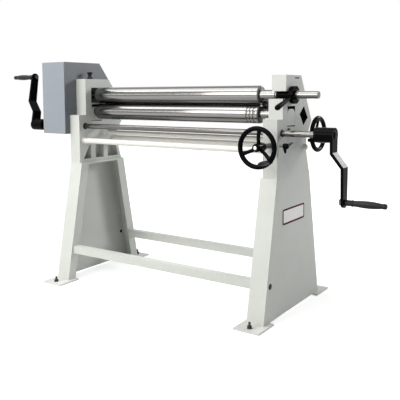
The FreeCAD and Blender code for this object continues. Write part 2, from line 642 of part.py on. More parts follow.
shaft_bushes = []
for side_name, side in SIDES:
    span = mirrored(("inner_face", "outer_face"), side)
    spot = ("-shaft_back", "shaft_height")
    ring = rod("ShaftBush" + side_name, "X", span, spot, "shaft_radius + shaft_bush_wall")
    bore = rod("ShaftBushBore" + side_name, "X", span, spot, "shaft_radius + running_gap")
    shaft_bushes.append(cut("ShaftBush" + side_name, ring, [bore]))
node("shaft_bushes", group("ShaftBushes", shaft_bushes))

# raised cover over the lift worm on the right housing, arched at the top
cover_span = ("outer_face", "outer_face + pad_thickness")
pad = prism("AdjusterPad", "YZ", [
    ("-pad_front", "pad_low"), ("-pad_rear", "pad_low"), ("-pad_rear", "pad_high"),
    ("-pad_rear - pad_crown", "pad_high + pad_crown"),
    ("-pad_front + pad_crown", "pad_high + pad_crown"), ("-pad_front", "pad_high")], cover_span)
pad_holes = [
    rod("PadClampHole", "X", cover_span, ("-clamp_front", "wheel_shaft_height"),
        "clamp_screw_radius + slide_gap"),
    rod("PadShaftHole", "X", cover_span, ("-shaft_back", "shaft_height"),
        "shaft_radius + shaft_bush_wall + slide_gap")]
node("adjuster_cover", cut("AdjusterCover", pad, pad_holes))
node("oil_cup", rod("OilCup", "X", ("outer_face", "outer_face + oil_cup_length"),
                    ("-oil_cup_back", "oil_cup_height"), "oil_cup_radius"))
node("name_plate", block("NamePlate", ("outer_face", "outer_face + plate_thickness"),
                         ("-plate_length / 2", "plate_length / 2"),
                         ("plate_centre - plate_height / 2", "plate_centre + plate_height / 2")))

# sheet cover over the gears, open towards the housing, and the plate it closes on
COVER = [("-cover_front", "cover_bottom"), ("-cover_front", "cover_top"),
         ("cover_crown_rear", "cover_top"), ("cover_rear", "cover_shoulder"),
         ("cover_rear", "cover_bottom")]
cover_end = "cover_inner + cover_depth"
shell = prism("CoverShell", "YZ", COVER, (f"-({cover_end})", "-cover_inner"))
hollow = prism("CoverHollow", "YZ", [
    ("cover_sheet - cover_front", "cover_bottom + cover_sheet"),
    ("cover_sheet - cover_front", "cover_top - cover_sheet"),
    ("cover_crown_rear - cover_sheet / 2", "cover_top - cover_sheet"),
    ("cover_rear - cover_sheet", "cover_shoulder - cover_sheet / 2"),
    ("cover_rear - cover_sheet", "cover_bottom + cover_sheet")],
    (f"cover_sheet - ({cover_end})", "-cover_inner"))
shaft_exit = rod("CoverShaftHole", "X", (f"-({cover_end})", f"cover_sheet - ({cover_end})"),
                 ("-shaft_back", "shaft_height"), "cover_hole_radius")
node("gear_cover", cut("GearCover", shell, [hollow, shaft_exit]))

plate_span = ("-cover_inner", "-outer_face")
plate_tools = [
    rod("PlateShaft", "X", plate_span, ("-shaft_back", "shaft_height"), "shaft_radius + gear_gap"),
    rod("PlateHub", "X", plate_span, ("-front_axis_back", "top_axis_height"), "hub_radius + gear_gap"),
    block("PlateLower", plate_span,
          ("-front_axis_back - lower_journal_radius - gear_gap",
           "-front_axis_back + lower_journal_radius + gear_gap"),
          ("lower_axis_height - lower_journal_radius - lower_block_head / 3",
           "lower_axis_height + lower_journal_radius + gear_gap")),
    rod("PlateRear", "X", plate_span, ("rear_shaft_back", "rear_shaft_height"),
        "rack_pinion_radius")]
for index, spot in enumerate(screw_spots):
    plate_tools.append(rod(f"PlateScrew{index}", "X", plate_span, spot, "carrier_screw_radius + slide_gap"))
node("cover_back_plate", cut("BackPlate", prism("BackPlate", "YZ", COVER, plate_span), plate_tools))

# ring that carries the big gear's hub, held by four countersunk screws
carrier_span = ("-carrier_outer", "-cover_inner")
axis_spot = ("-front_axis_back", "top_axis_height")
carrier_tools = [rod("CarrierBore", "X", carrier_span, axis_spot, "hub_radius + running_gap")]
carrier_screws = []
for index, spot in enumerate(screw_spots):
    head_seat = "-carrier_outer + carrier_screw_radius"
    carrier_tools.append(rod(f"CarrierHole{index}", "X", carrier_span, spot,
                             "carrier_screw_radius + running_gap"))
    carrier_tools.append(rod(f"CarrierHead{index}", "X", ("-carrier_outer", head_seat), spot,
                             "1.5 * carrier_screw_radius + running_gap"))
    carrier_screws.append(fuse(f"CarrierScrew{index}", [
        rod(f"CarrierScrewHead{index}", "X", ("-carrier_outer", head_seat), spot,
            "1.5 * carrier_screw_radius"),
        rod(f"CarrierScrewShank{index}", "X", (head_seat, "carrier_screw_depth - outer_face"), spot,
            "carrier_screw_radius")]))
carrier = rod("CarrierRing", "X", carrier_span, axis_spot, "carrier_radius")
node("gear_carrier", cut("GearCarrier", carrier, carrier_tools))
node("carrier_screws", group("CarrierScrews", carrier_screws))

# hand knob on top of the left housing
knob_top = "stand_top + housing_height"
node("cap_knob", turned("CapKnob", "Z", [
    (knob_top, "0"), (knob_top, "cap_knob_radius"),
    (f"{knob_top} + cap_knob_height * 0.25", "cap_knob_radius"),
    (f"{knob_top} + cap_knob_height * 0.42", "cap_knob_waist"),
    (f"{knob_top} + cap_knob_height * 0.58", "cap_knob_waist"),
    (f"{knob_top} + cap_knob_height * 0.75", "cap_knob_radius"),
    (f"{knob_top} + cap_knob_height", "cap_knob_radius * 0.9"),
    (f"{knob_top} + cap_knob_height", "0")], ("-housing_middle", "-cap_knob_back")))


# ---------------------------------------------------------------- gears

PRESSURE_ANGLE = math.radians(20)
TOOTH_FILL = 0.86


def flank_angle(radius, base):
    """Involute angle at a radius, zero at and below the base circle."""
    if radius <= base:
        return 0.0
    return math.sqrt((radius / base) ** 2 - 1) - math.acos(base / radius)


def gear_face(count, module, phase):
    """Involute outline in the YZ plane with one tooth centred on phase, measured from Y to Z."""
    pitch = count * module / 2
    base = pitch * math.cos(PRESSURE_ANGLE)
    root = pitch - 1.2 * module
    tip = pitch + 0.9 * module
    start = max(base, root)
    half = math.pi / 2 / count * TOOTH_FILL + flank_angle(pitch, base)
    flank = [root] if root < start else []
    flank += [start + (tip - start) * step / 4 for step in range(5)]
    points = []
    for tooth in range(count):
        centre = phase + 2 * math.pi * tooth / count
        sides = [(radius, -1) for radius in flank] + [(radius, 1) for radius in reversed(flank)]
        for radius, hand in sides:
            angle = centre + hand * (half - flank_angle(radius, base))
            points.append(FreeCAD.Vector(0, radius * math.cos(angle), radius * math.sin(angle)))
    return Part.Face(Part.makePolygon(points + points[:1]))


def gear(tag, teeth, module, phase, span, centre, bore):
    """Spur gear on an X axis; phase in degrees."""
    face = gear_face(int(value(teeth)), value(module), math.radians(phase))
    width = value(f"({span[1]}) - ({span[0]})")
    shape = face.extrude(FreeCAD.Vector(width, 0, 0))
    item = doc.addObject("Part::Feature", tag + "Teeth")
    item.Shape = shape
    place(item, span[0], *centre)
    return cut(tag, item, [rod(tag + "Bore", "X", span, centre, bore)])


def heading(y, z):
    """Angle of a direction in the YZ plane, in degrees from Y to Z."""
    return math.degrees(math.atan2(value(z), value(y)))


pair_span = ("-(pair_end)", "-(pair_start)")
train_span = ("-(train_end)", "-(train_start)")
lower_spot = ("-front_axis_back", "lower_axis_height")
shaft_spot = ("-shaft_back", "shaft_height")
to_pinion = heading("-shaft_reach_back", "-shaft_reach_down")
half_pitch = 180 / value("pair_teeth")

# hub of the top roll's drive: journal, small gear and seat for the big gear in one piece
hub_turned = stepped("HubBody", "X", [("-train_end", "-cover_inner", "hub_radius")], axis_spot)
hub_gear = gear("HubGear", "pair_teeth", "pair_module", -90, pair_span, axis_spot, "hub_radius - 1")
hub_bore = rod("HubBore", "X", ("-train_end", "-cover_inner"), axis_spot,
               "coupling_ball_radius + ball_gap")
hub_slots = []
for index, sign in enumerate((-1, 1)):
    hub_slots.append(block(
        f"HubSlot{index}", ("ball_place - coupling_slot_reach", "ball_place + coupling_slot_reach"),
        ("-front_axis_back - coupling_pin_radius - 1", "-front_axis_back + coupling_pin_radius + 1"),
        mirrored(("coupling_ball_radius - 4", "hub_radius - 1"), sign)))
    bind(hub_slots[-1], Placement__Base__z="top_axis_height + "
         + ("coupling_ball_radius - 4" if sign > 0 else "(1 - hub_radius)"))
node("gear_hub", cut("GearHub", fuse("HubBlank", [hub_turned, hub_gear]), [hub_bore] + hub_slots))
node("bull_gear", gear("BullGear", "wheel_teeth", "gear_module", to_pinion, train_span, axis_spot,
                       "hub_radius"))
node("drive_pinion", gear("DrivePinion", "pinion_teeth", "gear_module",
                          to_pinion + 180 + 180 / value("pinion_teeth"), train_span, shaft_spot,
                          "shaft_radius"))
node("lower_roll_gear", gear("LowerRollGear", "pair_teeth", "pair_module", 90 + half_pitch,
                             pair_span, lower_spot, "lower_journal_radius"))


# ---------------------------------------------------------------- drive shaft and cranks

crank_end = "crank_hub_length + crank_plate"
node("drive_shaft", stepped("DriveShaft", "X", [
    (f"-left_crank_start - ({crank_end})", f"right_crank_start + {crank_end}", "shaft_radius")],
    shaft_spot))
plate_outer = "crank_hub_length + crank_offset + crank_plate"


def crank_arm(tag):
    """Hub and bent arm about the shaft's axis: X runs outwards and the arm hangs down."""
    side_view = prism(tag + "Bend", "XZ", [
        ("crank_hub_length", "crank_hub_radius"), ("crank_hub_length", "-crank_bend_high"),
        ("crank_hub_length + crank_offset", "-crank_bend_low"),
        ("crank_hub_length + crank_offset", "-crank_radius - crank_end_width / 2"),
        (plate_outer, "-crank_radius - crank_end_width / 2"),
        (plate_outer, "-crank_bend_low + crank_plate / 2"),
        (crank_end, "-crank_bend_high + crank_plate / 2"), (crank_end, "crank_hub_radius")],
        ("-crank_hub_radius", "crank_hub_radius"))
    span = ("0", plate_outer)
    front_view = fuse(tag + "Front", [
        prism(tag + "Taper", "YZ", [
            ("-crank_width / 2", "0"), ("crank_width / 2", "0"),
            ("crank_end_width / 2", "-crank_radius"), ("-crank_end_width / 2", "-crank_radius")],
            span),
        rod(tag + "TopRound", "X", span, ("0", "0"), "crank_hub_radius"),
        rod(tag + "EndRound", "X", span, ("0", "-crank_radius"), "crank_end_width / 2")])
    hub = rod(tag + "Hub", "X", ("0", "crank_hub_length"), ("0", "0"), "crank_hub_radius")
    arm = fuse(tag + "Arm", [common(tag + "Shape", [side_view, front_view]), hub])
    return cut(tag, arm, [
        rod(tag + "Bore", "X", ("0", crank_end), ("0", "0"), "shaft_radius"),
        rod(tag + "EndHole", "X", span, ("0", "-crank_radius"), "crank_spindle_radius")])


inner_seat = "crank_hub_length + crank_offset"
spindle_end = f"{plate_outer} + grip_length - 6"
grip_end = f"{plate_outer} + grip_length"


def crank_spindle(tag):
    return rod(tag, "X", (f"{inner_seat} - crank_nut_height", spindle_end), ("0", "-crank_radius"),
               "crank_spindle_radius")


def crank_nut(tag):
    span = (f"{inner_seat} - crank_nut_height", inner_seat)
    spot = ("0", "-crank_radius")
    ring = nut(tag + "Hex", "X", span, spot, "crank_nut_across")
    return cut(tag, ring, [rod(tag + "Bore", "X", span, spot, "crank_spindle_radius")])


def crank_grip(tag):
    """Ferrule and barrel handle that turns on the spindle."""
    start = f"{plate_outer} + slide_gap"
    neck = f"{plate_outer} + grip_ferrule_length"
    body = turned(tag + "Barrel", "X", [
        (start, "0"), (start, "grip_waist_radius"), (neck, "grip_waist_radius"),
        (f"{plate_outer} + grip_length * 0.32", "grip_radius"),
        (f"{plate_outer} + grip_length * 0.6", "grip_radius"),
        (f"{grip_end} - 5", "grip_end_radius"), (grip_end, "grip_end_radius - 4"), (grip_end, "0")],
        ("0", "-crank_radius"))
    return cut(tag, body, [rod(tag + "Bore", "X", (start, f"{spindle_end} + slide_gap"),
                               ("0", "-crank_radius"), "crank_spindle_radius + running_gap")])


CRANKS = {
    "left": (about("X", 180 - value("left_crank_tilt")) * about("Z", 180), "-left_crank_start"),
    "right": (about("X", 0), "right_crank_start"),
}


def on_crank(tag, item, side_name):
    turn, start = CRANKS[side_name]
    return swung(tag, item, turn, start, "-shaft_back", "shaft_height")


for side_name, side in SIDES:
    node("crank_" + side_name, on_crank("Crank" + side_name, crank_arm("CrankArm" + side_name), side_name))
node("crank_spindles", group("CrankSpindles", [
    on_crank("SpindleOn" + side_name, crank_spindle("Spindle" + side_name), side_name)
    for side_name, side in SIDES]))
node("crank_nuts", group("CrankNuts", [
    on_crank("CrankNutOn" + side_name, crank_nut("CrankNut" + side_name), side_name)
    for side_name, side in SIDES]))
for side_name, side in SIDES:
    node("crank_grip_" + side_name,
         on_crank("GripOn" + side_name, crank_grip("CrankGrip" + side_name), side_name))


# ---------------------------------------------------------------- top roll and its release

roll_body = [("roll_left", "roll_radius - roll_edge"), ("roll_left + roll_edge", "roll_radius"),
             ("roll_right - roll_edge", "roll_radius"), ("roll_right", "roll_radius - roll_edge")]
shoulder = "inner_face - shoulder_gap"
top_body = turned("TopRollBody", "X", [
    ("ball_place", "0"), ("ball_place", "left_neck_radius"), ("roll_left", "left_neck_radius")]
    + roll_body + [
    ("roll_right", "top_neck_radius"), (shoulder, "top_neck_radius"), (shoulder, "top_shaft_radius"),
    ("top_shaft_reach - 4", "top_shaft_radius"), ("top_shaft_reach", "top_shaft_radius - 4"),
    ("top_shaft_reach", "0")], axis_spot)
top_ball = ball("CouplingBall", ("ball_place", "-front_axis_back", "top_axis_height"),
                "coupling_ball_radius")
pin_span = ("top_axis_height - hub_radius + 3", "top_axis_height + hub_radius - 3")
pin_spot = ("ball_place", "-front_axis_back")
pin_hole = rod("CouplingPinHole", "Z", pin_span, pin_spot, "coupling_pin_radius")
node("top_roll", cut("TopRoll", fuse("TopRollBlank", [top_body, top_ball]), [pin_hole]))
node("coupling_pin", rod("CouplingPin", "Z", pin_span, pin_spot, "coupling_pin_radius"))

# ring on the journal that carries the release collar and swings out with the roll
ring_span = ("lock_ring_start", "lock_start + journal_ring_reach - 4")
node("journal_ring", cut("JournalRing", rod("JournalRingBlank", "X", ring_span, axis_spot,
                                            "journal_bush_radius"),
                         [rod("JournalRingBore", "X", ring_span, axis_spot,
                              "top_shaft_radius + running_gap")]))

# collar with two flat-sided fingers: turned, they fill the round seat behind the open slot
finger_span = ("inner_face + shoulder_gap", "lock_start + lock_lip")
finger_radius = "lock_seat_radius - finger_gap"
fingers = common("Fingers", [
    rod("FingerRound", "X", finger_span, axis_spot, finger_radius),
    block("FingerFlats", finger_span, (f"-front_axis_back - {finger_radius}",
                                       f"-front_axis_back + {finger_radius}"),
          ("top_axis_height - finger_flat", "top_axis_height + finger_flat"))])
collar_blank = fuse("CollarBlank", [
    rod("CollarRound", "X", ("lock_start", "lock_end"), axis_spot, "lock_collar_radius"), fingers])
lever_turn = about("X", value("lever_angle") - 90)
lever_root = "lock_collar_radius - 7"
collar_middle = "(lock_start + lock_end) / 2"
socket = swung("LeverSocket", rod("LeverSocketRod", "Z", (lever_root, "lock_collar_radius + 2"),
                                  ("0", "0"), "lever_radius"),
               lever_turn, collar_middle, *axis_spot)
node("release_collar", cut("ReleaseCollar", collar_blank, [
    rod("CollarBore", "X", ("inner_face", "lock_end"), axis_spot, "top_shaft_radius + finger_gap"),
    rod("CollarRingSeat", "X", ("lock_start + lock_lip", "lock_end"), axis_spot,
        "journal_bush_radius + running_gap"), socket]))
lever_parts = fuse("LeverParts", [
    rod("LeverRod", "Z", (lever_root, "lever_reach"), ("0", "0"), "lever_radius"),
    ball("LeverBall", ("0", "0", "lever_reach"), "lever_ball_radius")])
node("release_lever", swung("ReleaseLever", lever_parts, lever_turn, collar_middle, *axis_spot))


# ---------------------------------------------------------------- lower roll and its lift

def bearing_bore(side):
    """Span of a bearing bore: through on the left, blind towards the outside on the right."""
    return ("inner_face", "journal_end + 2") if side > 0 else ("-outer_face", "-inner_face")


lower_bushes = []
for side_name, side in SIDES:
    full = mirrored(("inner_face", "outer_face"), side)
    slab = block("LowerBlock" + side_name, full,
                 ("-front_axis_back - lower_block_width / 2", "-front_axis_back + lower_block_width / 2"),
                 ("lower_axis_height - lower_block_foot", "lower_axis_height + lower_block_head"))
    span = bearing_bore(side)
    tag = "LowerBush" + side_name
    hole = rod(tag + "Seat", "X", span, lower_spot, "lower_journal_radius + bush_wall")
    node("lower_bearing_" + side_name, cut("LowerBearing" + side_name, slab, [hole]))
    ring = rod(tag + "Ring", "X", span, lower_spot, "lower_journal_radius + bush_wall")
    bore = rod(tag + "Bore", "X", span, lower_spot, "lower_journal_radius + running_gap")
    lower_bushes.append(cut(tag, ring, [bore]))
node("lower_bushes", group("LowerBushes", lower_bushes))


def grooved_body():
    """Roll outline with the three wire grooves near its right end."""
    points = roll_body[:2]
    for index in (2, 1, 0):
        middle = f"roll_right - groove_inset - {index} * groove_pitch"
        floor = "roll_radius - groove_depth"
        points += [(f"{middle} - groove_width / 2", "roll_radius"), (f"{middle} - groove_width / 4", floor),
                   (f"{middle} + groove_width / 4", floor), (f"{middle} + groove_width / 2", "roll_radius")]
    return points + roll_body[2:]


def grooved_roll(tag, left_end, centre):
    right_end = "journal_end"
    return turned(tag, "X", [(left_end, "0"), (left_end, "lower_journal_radius"),
                             ("roll_left", "lower_journal_radius")] + grooved_body() + [
        ("roll_right", "lower_journal_radius"), (right_end, "lower_journal_radius"),
        (right_end, "0")], centre)


node("lower_roll", grooved_roll("LowerRoll", "-(pair_end) - 1", lower_spot))

# eccentric shaft under the bearing blocks, with the worm wheel at its right end
lift_spot = ("-front_axis_back", "lift_shaft_height")
lobe_spot = ("-front_axis_back - eccentric_throw", "lift_shaft_height")
lift_parts = [rod("LiftShaft", "X", ("-outer_face + blind_wall", "outer_face - blind_wall - 1"),
                  lift_spot, "lift_shaft_radius")]
for side_name, side in SIDES:
    wall = "housing_width / 2 - cavity_wall - 2"
    for index, edge in enumerate((f"- ({wall})", f"+ {wall} - eccentric_width")):
        start = f"{side} * housing_middle {edge}"
        lift_parts.append(rod(f"Lobe{side_name}{index}", "X", (start, f"{start} + eccentric_width"),
                              lobe_spot, "eccentric_radius"))
wheel_span = ("housing_middle - worm_wheel_width / 2", "housing_middle + worm_wheel_width / 2")
wheel_bore = [rod("WormWheelBore", "X", wheel_span, lift_spot, "lift_shaft_radius")]
node("eccentric_shaft", fuse("EccentricShaft", lift_parts))
node("worm_wheel", cut("WormWheel", rod("WormWheelBlank", "X", wheel_span, lift_spot,
                                        "worm_wheel_radius"), wheel_bore))


# ---------------------------------------------------------------- handwheels

def handwheel(tag, radius, hub_radius, hub_span, bore, spoke_angle, grip_angle):
    """Three-spoke wheel about the Z axis, rim in the XY plane, with its handle's spindle."""
    centre_line = f"{radius} - rim_radius"
    rim = doc.addObject("Part::Torus", tag + "Rim")
    bind(rim, Radius1=centre_line, Radius2="rim_radius")
    parts = [rim, rod(tag + "Hub", "Z", hub_span, ("0", "0"), hub_radius)]
    for index in range(3):
        spoke = block(f"{tag}Spoke{index}", ("0", centre_line), ("-spoke_width / 2", "spoke_width / 2"),
                      ("-spoke_thickness / 2", "spoke_thickness / 2"))
        turn = about("Z", value(spoke_angle) + 120 * index)
        parts.append(swung(f"{tag}Arm{index}", spoke, turn))
    spindle = rod(tag + "Spindle", "Z", ("0", "rim_radius + wheel_grip_length - 6"),
                  (centre_line, "0"), "wheel_grip_radius / 2")
    parts.append(swung(tag + "SpindleSpot", spindle, about("Z", value(grip_angle))))
    return cut(tag, fuse(tag + "Blank", parts),
               [rod(tag + "Bore", "Z", hub_span, ("0", "0"), bore)])


def wheel_grip(tag, radius, grip_angle):
    centre_line = f"{radius} - rim_radius"
    start = "rim_radius + slide_gap"
    end = "rim_radius + wheel_grip_length"
    body = turned(tag + "Body", "Z", [
        (start, "0"), (start, "wheel_grip_radius * 0.75"), (f"{start} + 14", "wheel_grip_radius"),
        (f"{end} - 26", "wheel_grip_radius"), (f"{end} - 5", "wheel_grip_radius * 0.8"),
        (end, "wheel_grip_radius * 0.5"), (end, "0")], (centre_line, "0"))
    bore = rod(tag + "Bore", "Z", (start, f"{end} - 5"), (centre_line, "0"),
               "wheel_grip_radius / 2 + running_gap")
    return swung(tag + "Spot", cut(tag, body, [bore]), about("Z", value(grip_angle)))


FRONT_WHEEL = (about("X", 90), "housing_middle", "-front_wheel_back", "wheel_shaft_height")
REAR_WHEEL = (about("Y", 90), "rear_wheel_place", "rear_shaft_back", "rear_shaft_height")

node("front_handwheel", swung("FrontHandwheel", handwheel(
    "FrontWheel", "front_wheel_radius", "front_wheel_hub_radius",
    ("front_wheel_hub_rear - front_wheel_back", "front_wheel_hub_nose"), "wheel_shaft_radius",
    "front_spoke_angle", "front_grip_angle"), *FRONT_WHEEL))
node("front_wheel_grip", swung("FrontWheelGrip", wheel_grip(
    "FrontGrip", "front_wheel_radius", "front_grip_angle"), *FRONT_WHEEL))
wheel_shaft_spot = ("housing_middle", "wheel_shaft_height")
node("worm_shaft", stepped("WormShaft", "Y", [
    ("-front_wheel_back - front_wheel_hub_nose", "worm_start", "wheel_shaft_radius"),
    ("worm_start", "worm_start + worm_length", "worm_radius")], wheel_shaft_spot))

# clamp on the lift handwheel's shaft
clamp_spot = ("-clamp_front", "wheel_shaft_height")
clamp_start = "outer_face + clamp_standoff"
clamp_end = f"{clamp_start} + clamp_hub_length"
node("clamp_screw", rod("ClampScrew", "X", ("housing_middle + wheel_shaft_radius + running_gap",
                                            f"{clamp_end} - 4"), clamp_spot, "clamp_screw_radius"))
clamp_hub = rod("ClampHub", "X", (clamp_start, clamp_end), clamp_spot, "clamp_hub_radius")
clamp_arm = swung("ClampArm", rod("ClampArmRod", "Z", ("0", "clamp_arm_length"), ("0", "0"),
                                  "clamp_arm_radius"),
                  about("X", -value("clamp_arm_angle")), f"{clamp_end} - clamp_arm_radius", *clamp_spot)
clamp_tail = swung("ClampTail", rod("ClampTailRod", "Z", ("-clamp_tail_length", "0"), ("0", "0"),
                                    "clamp_arm_radius * 1.2"),
                   about("X", 10), f"{clamp_start} + clamp_arm_radius * 1.3", *clamp_spot)
clamp_bore = rod("ClampBore", "X", (clamp_start, f"{clamp_end} - 4"), clamp_spot, "clamp_screw_radius")
node("clamp_lever", cut("ClampLever", fuse("ClampBlank", [clamp_hub, clamp_arm, clamp_tail]),
                        [clamp_bore]))


# ---------------------------------------------------------------- rear roll and its adjustment

rear_spot = ("rear_axis_back", "rear_axis_height")
rear_bushes = []
for side_name, side in SIDES:
    full = mirrored(("inner_face", "outer_face"), side)
    span = mirrored(("inner_face", "journal_end + 2"), side)
    tag = "RearBush" + side_name
    slab = tilted_block("RearBlock" + side_name, full, "rear_block_size",
                        ("-rear_block_size / 2", "rear_block_size / 2"))
    hole = rod(tag + "Seat", "X", span, rear_spot, "lower_journal_radius + bush_wall")
    node("rear_bearing_" + side_name, cut("RearBearing" + side_name, slab, [hole]))
    rear_bushes.append(cut(tag, rod(tag + "Ring", "X", span, rear_spot, "lower_journal_radius + bush_wall"),
                           [rod(tag + "Bore", "X", span, rear_spot, "lower_journal_radius + running_gap")]))
node("rear_bushes", group("RearBushes", rear_bushes))
node("rear_roll", grooved_roll("RearRoll", "-(journal_end)", rear_spot))


def rack(tag, side):
    """Toothed bar under a rear bearing block; its teeth face the pinion at the front."""
    module = value("rack_module")
    pitch = math.pi * module
    line = value("rack_pitch_line")
    tip = line - 0.9 * module
    root = line + 1.2 * module
    lean = math.tan(PRESSURE_ANGLE)
    top = -value("rear_block_size") / 2
    points = [(value("rack_back"), top), (root, top)]
    # gaps are centred on the pinion's place, so teeth sit half a pitch from it
    tooth = value("pinion_along") + pitch / 2 + pitch * math.ceil(
        (-value("rack_first") - value("pinion_along")) / pitch)
    while tooth > -value("rack_last"):
        half = pitch / 4 * TOOTH_FILL
        at_root = half + (root - line) * lean
        at_tip = half - (line - tip) * lean
        points += [(root, tooth + at_root), (tip, tooth + at_tip), (tip, tooth - at_tip),
                   (root, tooth - at_root)]
        tooth -= pitch
    points += [(root, -value("rack_reach")), (value("rack_back"), -value("rack_reach"))]
    corners = [FreeCAD.Vector(0, across, along) for across, along in points]
    face = Part.Face(Part.makePolygon(corners + corners[:1]))
    item = doc.addObject("Part::Feature", tag)
    item.Shape = face.extrude(FreeCAD.Vector(value("rack_width"), 0, 0))
    return tilted(item, "0", "0", f"{side} * housing_middle - rack_width / 2")


node("rear_racks", group("RearRacks", [rack("Rack" + side_name, side) for side_name, side in SIDES]))
pinion_spot = ("rear_shaft_back", "rear_shaft_height")
rear_pinions = []
for side_name, side in SIDES:
    span = (f"{side} * housing_middle - rack_width / 2", f"{side} * housing_middle + rack_width / 2")
    rear_pinions.append(gear("RackPinion" + side_name, "rack_pinion_teeth", "rack_module",
                             value("slot_tilt"), span, pinion_spot, "rear_shaft_radius"))
node("rear_pinions", group("RackPinions", rear_pinions))
hub_half = "rear_wheel_hub_length / 2"
node("rear_wheel_shaft", rod("RearWheelShaft", "X", ("-outer_face + cavity_wall",
                                                     f"rear_wheel_place + {hub_half}"),
                             pinion_spot, "rear_shaft_radius"))
node("rear_handwheel", swung("RearHandwheel", handwheel(
    "RearWheel", "rear_wheel_radius", "rear_wheel_hub_radius", (f"-{hub_half}", hub_half),
    "rear_shaft_radius", "rear_spoke_angle", "rear_grip_angle"), *REAR_WHEEL))
node("rear_wheel_grip", swung("RearWheelGrip", wheel_grip(
    "RearGrip", "rear_wheel_radius", "rear_grip_angle"), *REAR_WHEEL))


# ---------------------------------------------------------------- check and export

doc.recompute()
for item in doc.Objects:
    if "Invalid" in item.State or "Error" in item.State:
        raise RuntimeError(f"{item.Label} did not recompute: {item.State}")
for item in NODES:
    if item.Shape.isNull() or not item.Shape.isValid():
        raise RuntimeError(f"{item.Label} has no valid shape")
    item.Shape.exportStep(f"parts/{item.Label}.step")
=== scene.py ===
import bpy
import bmesh
import math
import numpy as np
from mathutils import Matrix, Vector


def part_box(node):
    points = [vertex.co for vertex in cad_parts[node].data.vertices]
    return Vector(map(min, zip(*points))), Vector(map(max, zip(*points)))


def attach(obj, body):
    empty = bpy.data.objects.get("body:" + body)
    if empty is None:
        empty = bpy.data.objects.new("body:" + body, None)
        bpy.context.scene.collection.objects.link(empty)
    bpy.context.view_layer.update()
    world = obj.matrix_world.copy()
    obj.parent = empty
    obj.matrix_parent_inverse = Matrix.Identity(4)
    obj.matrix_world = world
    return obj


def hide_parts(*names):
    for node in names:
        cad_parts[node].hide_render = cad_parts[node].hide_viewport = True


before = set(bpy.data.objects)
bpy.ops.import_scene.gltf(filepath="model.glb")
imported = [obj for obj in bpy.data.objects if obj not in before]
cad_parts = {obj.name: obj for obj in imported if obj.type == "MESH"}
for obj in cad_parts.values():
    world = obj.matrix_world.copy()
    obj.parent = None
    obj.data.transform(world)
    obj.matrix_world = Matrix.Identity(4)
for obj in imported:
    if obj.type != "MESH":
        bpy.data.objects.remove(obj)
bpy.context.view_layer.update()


# --- Stands. Two legs folded from 5 mm sheet steel, with rounded bends, inward return flanges and
# a top plate that the housing is bolted to. Sprayed in a light grey enamel with a touch of green.
sheet_grey = (0.546, 0.571, 0.532)


def effect(name, inputs, outputs):
    """Empty shader group: inputs are (name, default) and outputs are names, all of plain values."""
    group = bpy.data.node_groups.new(name, "ShaderNodeTree")
    for label, default in inputs:
        socket = group.interface.new_socket(name=label, in_out="INPUT", socket_type="NodeSocketFloat")
        socket.default_value = default
    for label in outputs:
        group.interface.new_socket(name=label, in_out="OUTPUT", socket_type="NodeSocketFloat")
    return group, group.nodes.new("NodeGroupInput"), group.nodes.new("NodeGroupOutput")


def add(tree, kind, settings=(), **links):
    """New node. Links give values or sockets, by the input's name with _ for a space in it, or by
    its number after an i."""
    made = tree.nodes.new(kind)
    for key, setting in dict(settings).items():
        setattr(made, key, setting)
    for key, source in links.items():
        numbered = key[0] == "i" and key[1:].isdigit()
        spot = made.inputs[int(key[1:]) if numbered else key.replace("_", " ")]
        if isinstance(source, bpy.types.NodeSocket):
            tree.links.new(source, spot)
        else:
            spot.default_value = source
    return made


def maths(tree, operation, first, second=0.0, clamp=False):
    """One step of arithmetic on numbers or sockets."""
    return add(tree, "ShaderNodeMath", {"operation": operation, "use_clamp": clamp},
               i0=first, i1=second).outputs[0]


# Edge wear: a normal rounded over a millimetre or two leans away from the true one at edges.
edge_wear, wear_in, wear_out = effect("edge wear", [("Width", 0.002), ("Amount", 0.5)], ["Mask"])
rounded = add(edge_wear, "ShaderNodeBevel", {"samples": 6}, Radius=wear_in.outputs["Width"])
true_normal = add(edge_wear, "ShaderNodeNewGeometry")
lean = add(edge_wear, "ShaderNodeVectorMath", {"operation": "DOT_PRODUCT"},
           i0=rounded.outputs[0], i1=true_normal.outputs["Normal"])
wear_coords = add(edge_wear, "ShaderNodeTexCoord")
chips = add(edge_wear, "ShaderNodeTexNoise", Vector=wear_coords.outputs["Object"], Scale=90.0, Detail=5.0)
wear_gain, chip_level = 6.0, 0.52
edge = maths(edge_wear, "MULTIPLY", maths(edge_wear, "SUBTRACT", 1.0, lean.outputs["Value"]), wear_gain)
patchy = maths(edge_wear, "MULTIPLY", edge, maths(edge_wear, "GREATER_THAN", chips.outputs[0], chip_level))
edge_wear.links.new(maths(edge_wear, "MULTIPLY", patchy, wear_in.outputs["Amount"], clamp=True),
                    wear_out.inputs["Mask"])

